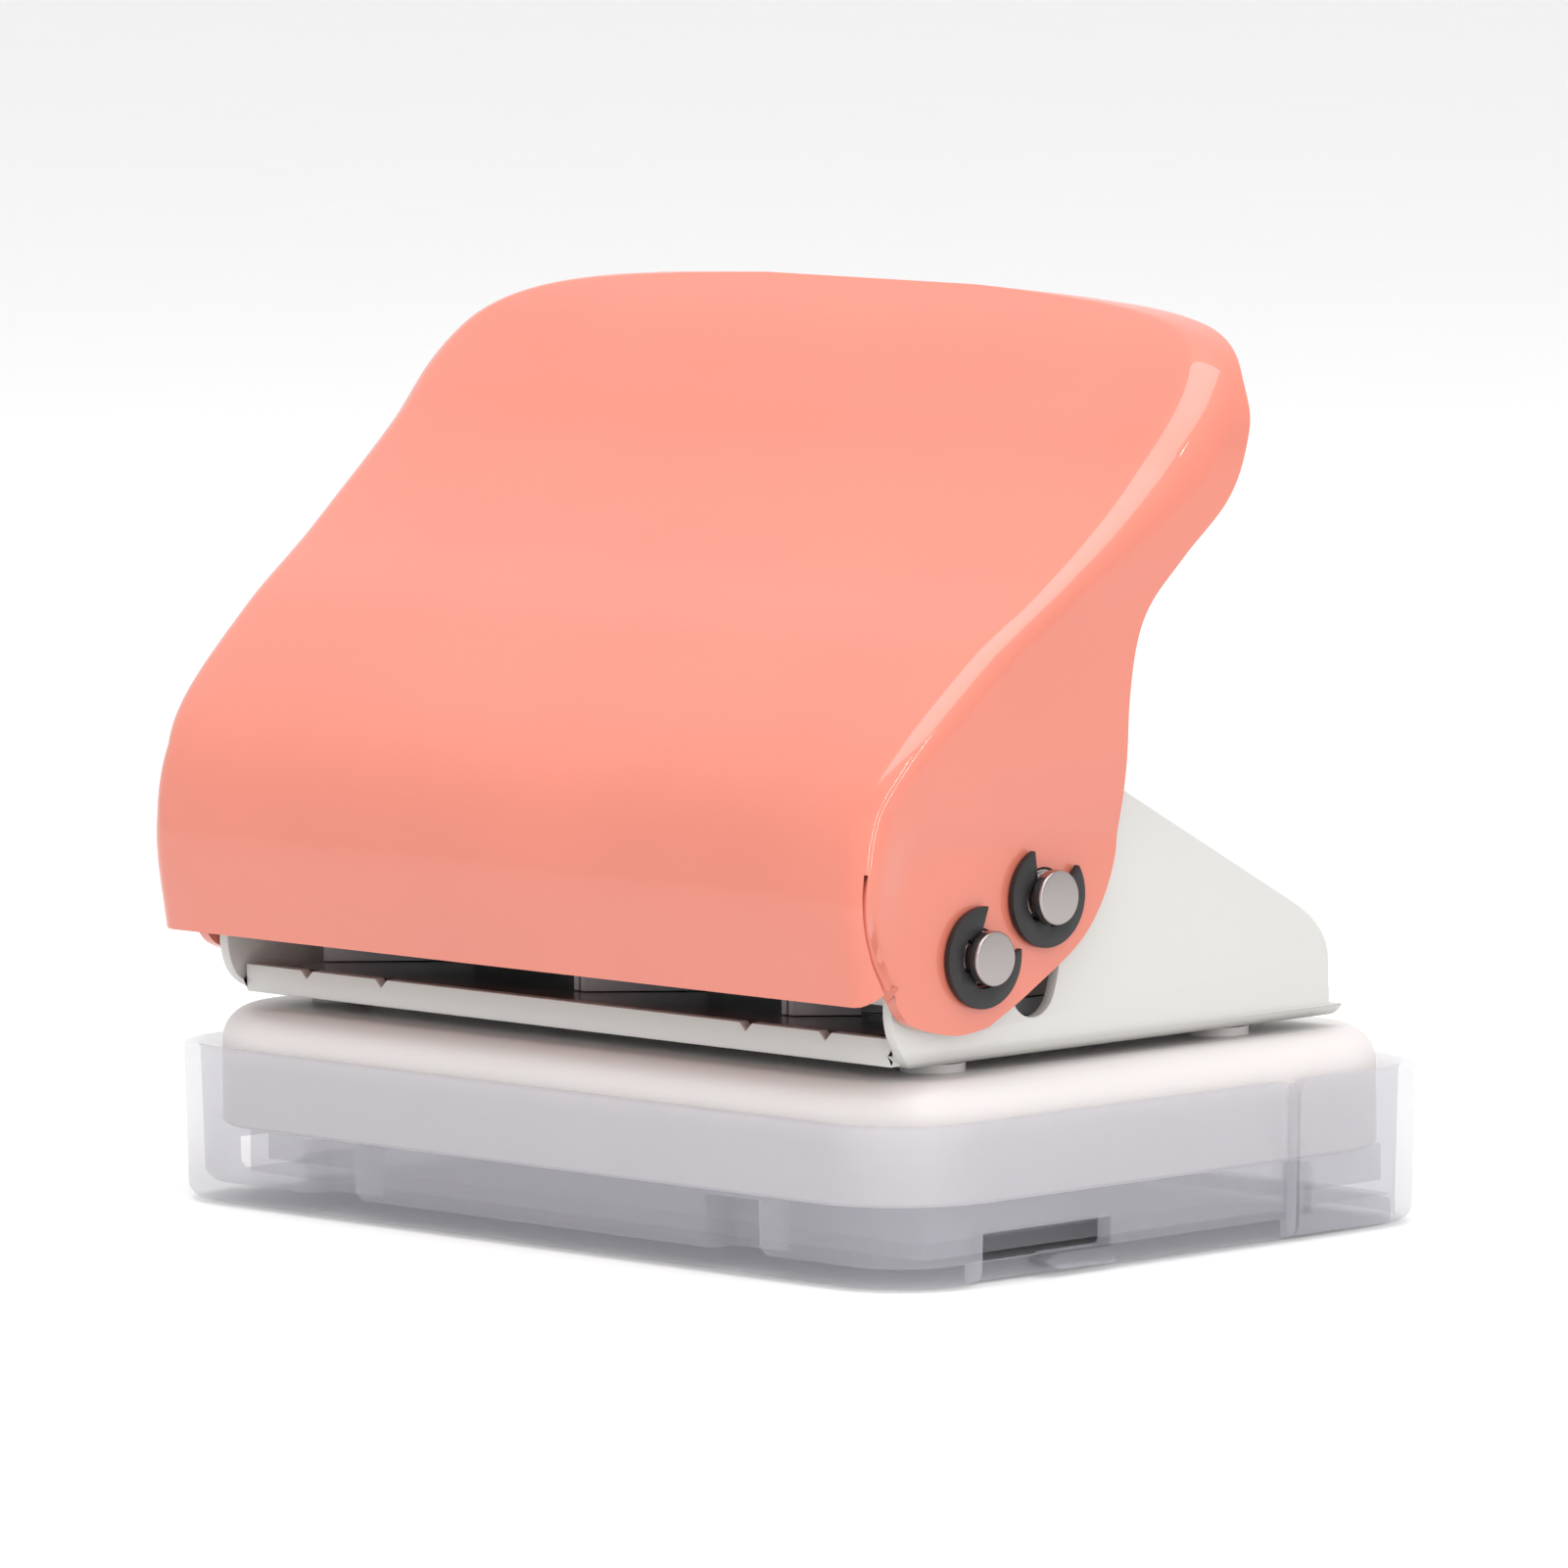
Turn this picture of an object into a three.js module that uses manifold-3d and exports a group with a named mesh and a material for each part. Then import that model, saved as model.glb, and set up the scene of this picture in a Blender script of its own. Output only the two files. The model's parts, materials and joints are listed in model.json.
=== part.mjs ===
// Corner rounder: a hand press with three corner-cutting stations on a clear chip tray.
//
// Millimetres. +X is to the right as seen from the paper side, +Y points away from the
// paper side and +Z is up. The origin is the middle of the tray's flat underside.
//
// The handle turns about the pivot pin and carries two short drive pins. They push the
// cutter carrier straight down, so that each cutter passes through its die and rounds the
// sheet corner that lies in its V-shaped fence. Two springs lift everything again. The
// offcuts fall through the frame and the base into a drawer that pulls out to the rear.

import * as THREE from 'three';
import { mergeVertices } from 'three/addons/utils/BufferGeometryUtils.js';
import Module from 'manifold-3d';

const wasm = await Module();
wasm.setup();

// ---------------------------------------------------------------- driving dimensions

const RAD = Math.PI / 180;
const SHEET = 1.2;              // steel sheet of the frame and the handle

const TRAY_HALF_X = 50.75;
const TRAY_HALF_Y = 36.2;
const TRAY_HEIGHT = 14.7;
const TRAY_WALL = 1.6;
const TRAY_CORNER = 9;
const TRAY_SPLIT_Y = 15;        // the side walls are split here, tray before, drawer behind
const SPLIT_GAP = 0.4;

const BASE_GAP = 0.4;           // between the base cover and the tray wall
const BASE_BOTTOM = 7;
const BASE_TOP = 18.1;
const BASE_PAD_TOP = 18.9;      // four pads carry the frame
const BASE_WALL = 1.6;
const BASE_CORNER = 11;
const BASE_EDGE = 3.4;          // rounding of the top edge

const FRAME_HALF_X = 45;
const FRAME_FRONT = -30;
const FRAME_REAR = 27.3;
const CHEEK_FRONT = -31.7;
const FRAME_BOTTOM = 19.1;
const FRAME_FLOOR = FRAME_BOTTOM + SHEET;
const FRAME_BEND = 2.2;         // outer bend radius
const LIP_TOP = 22;

const PIVOT = { y: -22.45, z: 29.05 };
const DRIVE_ARM = 9.5;          // drive pin's distance from the pivot
const DRIVE_REST = 30.6 * RAD;  // its angle above horizontal with the handle up
const SWING = 50 * RAD;         // full travel, ends just clear of the base cover
const DRIVE = {
  y: PIVOT.y + DRIVE_ARM * Math.cos(DRIVE_REST),
  z: PIVOT.z + DRIVE_ARM * Math.sin(DRIVE_REST),
};
const STROKE = DRIVE_ARM * (Math.sin(DRIVE_REST) - Math.sin(DRIVE_REST - SWING));

const PIN_R = 2.5;
const PIN_HOLE_R = 2.65;
const PIN_END = 49.1;           // the pins stand out past the handle on both sides
const GROOVE_R = 2;
const CLIP_X = 47.05;           // inner face of the retaining clips
const CLIP_THICK = 0.7;
const CLIP_R = 4.65;
const COLLAR_IN = 45.1;         // the spacers between frame cheek and handle cheek
const COLLAR_OUT = 45.6;

const HANDLE_HALF_X = 46.9;     // outer face of the handle's cheeks at the pins
const SKIN_HALF_X = 49.1;       // the front skin is wider than the cheeks at its foot
const HANDLE_SKIN_FOOT = 25.6;  // lower edge of the front skin

const DIE_HALF_X = 39.4;
const DIE_FRONT = -28.4;
const DIE_REAR = 1.4;
const DIE_BOTTOM = 20.6;
const DIE_TOP = 21.9;
const FENCE_BOTTOM = 22;
const FENCE_TOP = 23.5;
const FENCE_FRONT = -23.5;
const GUIDE_BOTTOM = 23.7;
const GUIDE_TOP = 25.9;
const GUIDE_FRONT = -22.6;

const CARRIER_HALF_X = 42.9;
const CARRIER_FRONT = -19;
const CARRIER_ARM_REAR = -3;    // rear edge beside the lugs
const CARRIER_REAR = 9.6;       // rear edge of the tail over the springs
const CARRIER_TAIL_HALF_X = 34;
const CARRIER_BOTTOM = 38;
const CARRIER_TOP = 41;
const LUG_THICK = 3;
const LUG_FRONT = -19;
const LUG_REAR = -8.2;
const CUTTER_EDGE = 24.4;       // height of the cutting edges with the handle up

// Each station is a right-angled V fence: its middle, its mouth's width and the corner radius.
const STATIONS = [
  { name: 'large', x: -21.9, mouth: 33.8, radius: 10 },
  { name: 'medium', x: 9.5, mouth: 26, radius: 7 },
  { name: 'small', x: 31.3, mouth: 14.6, radius: 4 },
];

const SPRING_X = 30;
const SPRING_Y = 5.6;
const SPRING_WIRE = 0.8;
const SPRING_R = 3;
const SPRING_TURNS = 5;
const POST_TOP = CARRIER_BOTTOM - 1.6 - STROKE - 0.7;   // clear of the carrier's studs

// ---------------------------------------------------------------- materials

const finish = (color, roughness, metalness) => (
  new THREE.MeshStandardMaterial({ color, roughness, metalness })
);
const CORAL = finish(0xf5a08c, 0.3, 0.1);
const WHITE_PAINT = finish(0xe6e4e2, 0.35, 0.1);
const WHITE_PLASTIC = finish(0xe8dfde, 0.4, 0);
const FROSTED = finish(0xc9c9d2, 0.5, 0);
const GREY_PLASTIC = finish(0xb4b8be, 0.5, 0);
const STEEL = finish(0x9a9ca0, 0.3, 1);
const TOOL_STEEL = finish(0x6c6e72, 0.35, 1);
const BLACK_STEEL = finish(0x1c1c1e, 0.45, 0.6);
const NYLON = finish(0xdadada, 0.6, 0);

// ---------------------------------------------------------------- solids

// A manifold solid from a closed three.js geometry.
function solid(geometry) {
  const bare = geometry.clone();
  bare.deleteAttribute('normal');
  bare.deleteAttribute('uv');
  const merged = mergeVertices(bare, 1e-5);
  return new wasm.Manifold(new wasm.Mesh({
    numProp: 3,
    vertProperties: new Float32Array(merged.attributes.position.array),
    triVerts: new Uint32Array(merged.index.array),
  }));
}

// The three.js geometry of a manifold solid.
function geometryOf(body) {
  const mesh = body.getMesh();
  const geometry = new THREE.BufferGeometry();
  geometry.setAttribute('position', new THREE.BufferAttribute(mesh.vertProperties, 3));
  geometry.setIndex(new THREE.BufferAttribute(mesh.triVerts, 1));
  return geometry;
}

const joined = (first, ...rest) => rest.reduce((body, tool) => body.add(tool), first);
const cut = (first, ...tools) => tools.reduce((body, tool) => body.subtract(tool), first);

function box(x0, x1, y0, y1, z0, z1) {
  const geometry = new THREE.BoxGeometry(x1 - x0, y1 - y0, z1 - z0);
  geometry.translate((x0 + x1) / 2, (y0 + y1) / 2, (z0 + z1) / 2);
  return solid(geometry);
}

// A rod of radius r along Z, standing at (x, y).
function rodZ(x, y, z0, z1, r, sides = 12) {
  const geometry = new THREE.CylinderGeometry(r, r, z1 - z0, sides);
  geometry.rotateX(Math.PI / 2);
  geometry.translate(x, y, (z0 + z1) / 2);
  return solid(geometry);
}

// A rod of radius r along X, through (y, z).
function rodX(y, z, x0, x1, r, sides = 16) {
  const geometry = new THREE.CylinderGeometry(r, r, x1 - x0, sides);
  geometry.rotateZ(Math.PI / 2);
  geometry.translate((x0 + x1) / 2, y, z);
  return solid(geometry);
}

function extruded(shape, depth, curveSegments) {
  return new THREE.ExtrudeGeometry(shape, { depth, curveSegments, bevelEnabled: false });
}

// A shape drawn in (x, y), raised from z0 to z1.
function raised(shape, z0, z1, curveSegments = 4) {
  const geometry = extruded(shape, z1 - z0, curveSegments);
  geometry.translate(0, 0, z0);
  return solid(geometry);
}

// A shape drawn in (y, z), swept across from x0 to x1.
function across(shape, x0, x1, curveSegments = 4) {
  const geometry = extruded(shape, x1 - x0, curveSegments);
  geometry.applyMatrix4(new THREE.Matrix4().makeBasis(
    new THREE.Vector3(0, 1, 0), new THREE.Vector3(0, 0, 1), new THREE.Vector3(1, 0, 0)));
  geometry.translate(x0, 0, 0);
  return solid(geometry);
}

// A shape drawn in (x, z), swept from y0 to y1.
function along(shape, y0, y1, curveSegments = 4) {
  const geometry = extruded(shape, y1 - y0, curveSegments);
  geometry.applyMatrix4(new THREE.Matrix4().makeBasis(
    new THREE.Vector3(1, 0, 0), new THREE.Vector3(0, 0, 1), new THREE.Vector3(0, -1, 0)));
  geometry.translate(0, y1, 0);
  return solid(geometry);
}

function polygon(points) {
  return new THREE.Shape(points.map(([a, b]) => new THREE.Vector2(a, b)));
}

function roundedRectangle(x0, x1, y0, y1, r) {
  const shape = new THREE.Shape();
  shape.moveTo(x0 + r, y0);
  shape.lineTo(x1 - r, y0);
  shape.absarc(x1 - r, y0 + r, r, -Math.PI / 2, 0);
  shape.lineTo(x1, y1 - r);
  shape.absarc(x1 - r, y1 - r, r, 0, Math.PI / 2);
  shape.lineTo(x0 + r, y1);
  shape.absarc(x0 + r, y1 - r, r, Math.PI / 2, Math.PI);
  shape.lineTo(x0, y0 + r);
  shape.absarc(x0 + r, y0 + r, r, Math.PI, Math.PI * 1.5);
  return shape;
}

// A turned part: its profile is a list of (radius, position along its axis).
function turned(profile, sides = 14) {
  return solid(new THREE.LatheGeometry(
    profile.map(([r, h]) => new THREE.Vector2(r, h)), sides));
}

// A turned part's axis laid along X through (y, z).
function laidAlongX(body, y, z) {
  return body.rotate([0, 0, -90]).translate([0, y, z]);
}

// ---------------------------------------------------------------- tray, drawer and base

function trayBlock(inset, z0, z1, corner) {
  const x = TRAY_HALF_X - inset;
  const y = TRAY_HALF_Y - inset;
  return raised(roundedRectangle(-x, x, -y, y, corner), z0, z1);
}

const DRAWER_HALF_X = 45;
const DRAWER_FRONT = -28;
const DRAWER_FLOOR = 1.9;
const DRAWER_RIM = 6.6;

const NOTCH = { front: -25.8, rear: -9.4, top: 4.65, tongueFront: -16.2, tongueTop: 1.9 };
const PILLAR_X = 27;
const PILLAR_HALF = 3.5;

// The clear tray: floor, front wall, and side walls as far as the split.
function chipTray() {
  const inside = TRAY_CORNER - TRAY_WALL;
  const shell = cut(
    trayBlock(0, 0, TRAY_HEIGHT, TRAY_CORNER),
    trayBlock(TRAY_WALL, TRAY_WALL, TRAY_HEIGHT + 1, inside));
  const x = TRAY_HALF_X + 1;
  const wallInside = TRAY_HALF_X - TRAY_WALL;
  const rearFloor = trayBlock(TRAY_WALL + 0.4, 0, TRAY_WALL, inside)
    .intersect(box(-x, x, TRAY_SPLIT_Y - 1, TRAY_HALF_Y, 0, TRAY_WALL));
  const splitCorner = roundedTop(TRAY_SPLIT_Y, -1);
  const front = cut(
    shell,
    box(-x, x, TRAY_SPLIT_Y, TRAY_HALF_Y + 1, -1, TRAY_HEIGHT + 1),
    splitCorner);
  const notches = [-1, 1].map((side) => {
    const outer = side * x;
    const inner = side * (wallInside - 0.6);
    const [x0, x1] = side > 0 ? [inner, outer] : [outer, inner];
    return box(x0, x1, NOTCH.front, NOTCH.rear, -1, NOTCH.top);
  });
  const tongues = [-1, 1].map((side) => {
    const outer = side * TRAY_HALF_X;
    const inner = side * (wallInside - 1);
    const [x0, x1] = side > 0 ? [inner, outer] : [outer, inner];
    return box(x0, x1, NOTCH.tongueFront, NOTCH.rear + 0.5, 0.1, NOTCH.tongueTop);
  });
  const pillars = [-1, 1].map((side) => box(
    side * PILLAR_X - PILLAR_HALF, side * PILLAR_X + PILLAR_HALF,
    -TRAY_HALF_Y + TRAY_WALL - 0.5, -30.6, TRAY_WALL - 0.5, BASE_BOTTOM - 0.3));
  return joined(cut(joined(front, rearFloor), ...notches), ...tongues, ...pillars);
}

// Tools that round the top corners of the side walls at the split; side is -1 before it.
function roundedTop(y, side) {
  const r = 1.6;
  const shape = new THREE.Shape();
  const z = TRAY_HEIGHT;
  const centre = y + side * r;
  shape.moveTo(centre, z + 1);
  shape.lineTo(y - side * 1, z + 1);
  shape.lineTo(y - side * 1, z - r);
  shape.lineTo(y, z - r);
  shape.absarc(centre, z - r, r, side < 0 ? 0 : Math.PI, Math.PI / 2, side > 0);
  shape.closePath();
  return across(shape, -TRAY_HALF_X - 1, TRAY_HALF_X + 1, 4);
}

// The drawer: a shallow pan under the cutters, with the tray's rear walls as its front.
function chipDrawer() {
  const start = TRAY_SPLIT_Y + SPLIT_GAP;
  const inside = TRAY_CORNER - TRAY_WALL;
  const walls = cut(
    trayBlock(0, 0.15, TRAY_HEIGHT, TRAY_CORNER),
    trayBlock(TRAY_WALL, -1, TRAY_HEIGHT + 1, inside),
    box(-TRAY_HALF_X - 1, TRAY_HALF_X + 1, -TRAY_HALF_Y - 1, start, -1, TRAY_HEIGHT + 1),
    roundedTop(start, 1));
  const rear = TRAY_HALF_Y - TRAY_WALL;
  const pan = cut(
    box(-DRAWER_HALF_X, DRAWER_HALF_X, DRAWER_FRONT, rear + 0.4, DRAWER_FLOOR, DRAWER_RIM),
    box(-DRAWER_HALF_X + 1.2, DRAWER_HALF_X - 1.2, DRAWER_FRONT + 1.2, rear - 1.2,
      DRAWER_FLOOR + 1.2, DRAWER_RIM + 1));
  const wings = [-1, 1].map((side) => {
    const outer = side * (TRAY_HALF_X - TRAY_WALL + 0.4);
    const inner = side * (DRAWER_HALF_X - 0.6);
    const [x0, x1] = side > 0 ? [inner, outer] : [outer, inner];
    return box(x0, x1, start + 2.2, start + 3.4, DRAWER_FLOOR, DRAWER_RIM);
  });
  return joined(walls, pan, ...wings);
}

// The base cover is an open-bottomed box with a rounded top edge.
function baseShell(inset, top, corner, edge, bevelSegments) {
  const x = TRAY_HALF_X - TRAY_WALL - BASE_GAP - inset - edge;
  const y = TRAY_HALF_Y - TRAY_WALL - BASE_GAP - inset - edge;
  const depth = 20;
  const geometry = new THREE.ExtrudeGeometry(
    roundedRectangle(-x, x, -y, y, corner - edge - inset),
    { depth, curveSegments: 4, bevelEnabled: true, bevelSize: edge, bevelThickness: edge,
      bevelSegments });
  geometry.translate(0, 0, top - edge - depth);
  return solid(geometry);
}

const CHIP_WINDOWS = STATIONS.map(({ x, mouth, radius }) => {
  const vertex = FENCE_FRONT + mouth / 2;
  const half = radius * Math.SQRT1_2 + 2.4;
  return { x0: x - half, x1: x + half, y0: vertex - radius * Math.SQRT1_2 - 1.6, y1: vertex + 3 };
});
const BASE_SCREWS = [[-39.4, -21], [39.4, -21], [-39.4, 16], [39.4, 16]];

function baseCover() {
  const size = 60;
  const outer = baseShell(0, BASE_TOP, BASE_CORNER, BASE_EDGE, 3);
  const hollow = baseShell(BASE_WALL, BASE_TOP - BASE_WALL, BASE_CORNER, BASE_EDGE - 1, 1);
  const pads = BASE_SCREWS.map(([x, y]) => rodZ(x, y, BASE_TOP - 1, BASE_PAD_TOP, 3, 16));
  const bosses = BASE_SCREWS.map(([x, y]) => rodZ(x, y, BASE_TOP - 3.4, BASE_TOP - 1, 3.4));
  const opening = raised(roundedRectangle(-36, 36, -22, 18, 3), 12, 20);
  const holes = BASE_SCREWS.map(([x, y]) => rodZ(x, y, 12, 20, 1.65));
  const keep = box(-size, size, -size, size, BASE_BOTTOM, BASE_PAD_TOP);
  const shell = cut(outer, hollow).intersect(keep);
  return cut(joined(shell, ...pads, ...bosses), opening, ...holes);
}

// ---------------------------------------------------------------- frame

// Outline of a cheek in (y, z), joined with the floor's edge.
function cheekOutline() {
  const shape = new THREE.Shape();
  shape.moveTo(FRAME_FRONT + 2.5, FRAME_BOTTOM);
  shape.lineTo(FRAME_REAR, FRAME_BOTTOM);
  shape.lineTo(FRAME_REAR, FRAME_FLOOR);
  shape.lineTo(26.2, FRAME_FLOOR);
  shape.quadraticCurveTo(25.2, FRAME_FLOOR, 25.2, 21.4);
  shape.lineTo(25.2, 24.6);
  shape.quadraticCurveTo(25.2, 27.8, 20.4, 30.4);
  shape.lineTo(-2.5, 42.8);
  shape.quadraticCurveTo(-6.4, 44.8, -10.6, 44);
  shape.lineTo(-19.5, 41.5);
  shape.quadraticCurveTo(CHEEK_FRONT, 38, CHEEK_FRONT, 30);
  shape.lineTo(CHEEK_FRONT, 24.2);
  shape.quadraticCurveTo(CHEEK_FRONT + 0.4, 20, FRAME_FRONT + 2.5, FRAME_BOTTOM);
  return shape;
}

// The floor and both cheeks are one bent sheet: its section in (x, z).
function channelSection(height) {
  const r = FRAME_BEND;
  const ri = FRAME_BEND - SHEET;
  const x = FRAME_HALF_X;
  const xi = x - SHEET;
  const shape = new THREE.Shape();
  shape.moveTo(-x + r, FRAME_BOTTOM);
  shape.lineTo(x - r, FRAME_BOTTOM);
  shape.absarc(x - r, FRAME_BOTTOM + r, r, -Math.PI / 2, 0);
  shape.lineTo(x, height);
  shape.lineTo(xi, height);
  shape.lineTo(xi, FRAME_BOTTOM + r);
  shape.absarc(xi - ri, FRAME_BOTTOM + r, ri, 0, -Math.PI / 2, true);
  shape.lineTo(-xi + ri, FRAME_FLOOR);
  shape.absarc(-xi + ri, FRAME_BOTTOM + r, ri, -Math.PI / 2, -Math.PI, true);
  shape.lineTo(-xi, height);
  shape.lineTo(-x, height);
  shape.lineTo(-x, FRAME_BOTTOM + r);
  shape.absarc(-x + r, FRAME_BOTTOM + r, r, -Math.PI, -Math.PI / 2);
  return shape;
}

// The slot that the drive pin sweeps, with a little room past both ends.
function driveSlot(x0, x1) {
  const half = PIN_R + 0.25;
  const high = DRIVE_REST + 2 * RAD;
  const low = DRIVE_REST - SWING - 3 * RAD;
  const end = (angle) => [
    PIVOT.y + DRIVE_ARM * Math.cos(angle), PIVOT.z + DRIVE_ARM * Math.sin(angle)];
  const shape = new THREE.Shape();
  shape.absarc(PIVOT.y, PIVOT.z, DRIVE_ARM + half, low, high);
  shape.absarc(...end(high), half, high, high + Math.PI);
  shape.absarc(PIVOT.y, PIVOT.z, DRIVE_ARM - half, high, low, true);
  shape.absarc(...end(low), half, low + Math.PI, low + 2 * Math.PI);
  return across(shape, x0, x1, 6);
}

const LIP_TICKS = [-34.7, -24.4, 24.4, 34.7];

function frame() {
  const width = FRAME_HALF_X + 1;
  const channel = along(channelSection(50), CHEEK_FRONT - 1, FRAME_REAR + 1)
    .intersect(across(cheekOutline(), -width, width));
  const lipHalf = FRAME_HALF_X - FRAME_BEND + 0.3;
  const frontLip = box(-lipHalf, lipHalf, FRAME_FRONT, FRAME_FRONT + SHEET, FRAME_BOTTOM + 0.3,
    LIP_TOP);
  const rearLip = box(-lipHalf, lipHalf, FRAME_REAR - SHEET, FRAME_REAR, FRAME_BOTTOM + 0.3,
    LIP_TOP - 0.2);
  const ticks = LIP_TICKS.map((x) => along(
    polygon([[x - 0.9, LIP_TOP + 0.1], [x, LIP_TOP - 0.8], [x + 0.9, LIP_TOP + 0.1]]),
    FRAME_FRONT - 1, FRAME_FRONT + SHEET + 1));
  const windows = CHIP_WINDOWS.map(({ x0, x1, y0, y1 }) => box(
    x0 + 0.6, x1 - 0.6, y0 + 0.6, y1 - 0.6, FRAME_BOTTOM - 1, FRAME_FLOOR + 1));
  const floorHoles = [
    ...BASE_SCREWS.map(([x, y]) => rodZ(x, y, 18, 22, 1.6)),
    ...[-SPRING_X, SPRING_X].map((x) => rodZ(x, SPRING_Y, 18, 22, 1.5)),
    ...GUIDE_SCREWS.map(([x, y]) => rodZ(x, y, 18, 22, 1.35)),
  ];
  const pivotHoles = rodX(PIVOT.y, PIVOT.z, -width, width, PIN_HOLE_R);
  return cut(
    joined(channel, frontLip, rearLip),
    ...ticks, ...windows, ...floorHoles, pivotHoles, driveSlot(-width, width));
}

// ---------------------------------------------------------------- stations

// Screws through guide, fence and die plate, in the solid ground between the stations.
const GUIDE_SCREWS = [[-36.6, -1.6], [-8, -3.6], [20.6, -3.6], [36.6, -3.6]];

// Footprint of a cutter: the corner that is cut away, with every side moved out by grow.
// The front is the hollow arc that rounds the sheet; the back lies behind the fence.
function cutterOutline({ x, mouth, radius }, grow) {
  const vertex = FENCE_FRONT + mouth / 2;
  const reach = radius * Math.SQRT1_2;
  const arcCentre = vertex - radius * Math.SQRT2;
  const back = 1.6 + grow;
  const arcRadius = radius - grow;
  const from = Math.PI / 4 - Math.asin(grow / arcRadius);
  const flankX = reach + (back + grow) * Math.SQRT1_2;
  const flankY = vertex - reach + (back - grow) * Math.SQRT1_2;
  const shape = new THREE.Shape();
  shape.moveTo(x + arcRadius * Math.cos(from), arcCentre + arcRadius * Math.sin(from));
  shape.lineTo(x + flankX, flankY);
  shape.lineTo(x + 1.2, vertex + back * Math.SQRT2 - 1.2);
  shape.lineTo(x - 1.2, vertex + back * Math.SQRT2 - 1.2);
  shape.lineTo(x - flankX, flankY);
  shape.lineTo(x - arcRadius * Math.cos(from), arcCentre + arcRadius * Math.sin(from));
  shape.absarc(x, arcCentre, arcRadius, Math.PI - from, from, true);
  return shape;
}

const CUTTER_FIT = 0.12;

function diePlate() {
  const plate = box(-DIE_HALF_X, DIE_HALF_X, DIE_FRONT, DIE_REAR, DIE_BOTTOM, DIE_TOP);
  const openings = STATIONS.map((station) => raised(
    cutterOutline(station, CUTTER_FIT), DIE_BOTTOM - 1, DIE_TOP + 1));
  const holes = GUIDE_SCREWS.map(([x, y]) => rodZ(x, y, DIE_BOTTOM - 1, DIE_TOP + 1, 1.35));
  return cut(plate, ...openings, ...holes);
}

// A fence is a low block with a right-angled V in its front edge.
function fence(station) {
  const { x, mouth } = station;
  const half = mouth / 2;
  const vertex = FENCE_FRONT + half;
  const edge = 0.6;
  const shape = polygon([
    [x - half - edge, FENCE_FRONT],
    [x - half, FENCE_FRONT],
    [x, vertex],
    [x + half, FENCE_FRONT],
    [x + half + edge, FENCE_FRONT],
    [x + half + edge, DIE_REAR],
    [x - half - edge, DIE_REAR],
  ]);
  const holes = GUIDE_SCREWS.map(([hx, hy]) => rodZ(hx, hy, 21, 25, 1.35));
  const pocket = raised(cutterOutline(station, CUTTER_FIT), 21, 25);
  return cut(raised(shape, FENCE_BOTTOM, FENCE_TOP), pocket, ...holes);
}

function cutterGuide() {
  const plate = raised(
    roundedRectangle(-DIE_HALF_X, DIE_HALF_X, GUIDE_FRONT, DIE_REAR, 1.5),
    GUIDE_BOTTOM, GUIDE_TOP, 3);
  const openings = STATIONS.map((station) => raised(
    cutterOutline(station, CUTTER_FIT), GUIDE_BOTTOM - 1, GUIDE_TOP + 1));
  const holes = GUIDE_SCREWS.map(([x, y]) => rodZ(x, y, GUIDE_BOTTOM - 1, GUIDE_TOP + 1, 1.35));
  return cut(plate, ...openings, ...holes);
}

// ---------------------------------------------------------------- carrier and cutters

const CUTTER_HEAD_BOTTOM = 35.6;
const CUTTER_HEAD_TOP = CARRIER_BOTTOM - 0.1;
const CUTTER_HEAD_HALF = 4.2;
const HEAD_FRONT = PIVOT.y + PIN_R + 0.5;   // the heads pass close behind the pivot pin
const cutterHeadY = ({ mouth }) => (
  Math.max(FENCE_FRONT + mouth / 2 - 1, HEAD_FRONT + CUTTER_HEAD_HALF)
);

function cutter(station) {
  const y = cutterHeadY(station);
  const { x } = station;
  const blade = raised(cutterOutline(station, 0), CUTTER_EDGE, CUTTER_HEAD_BOTTOM + 0.5);
  const head = box(x - CUTTER_HEAD_HALF, x + CUTTER_HEAD_HALF, y - CUTTER_HEAD_HALF,
    y + CUTTER_HEAD_HALF, CUTTER_HEAD_BOTTOM, CUTTER_HEAD_TOP);
  return cut(joined(blade, head), rodZ(x, y, CUTTER_HEAD_BOTTOM - 1, CUTTER_HEAD_TOP + 1, 1.4));
}

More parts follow.
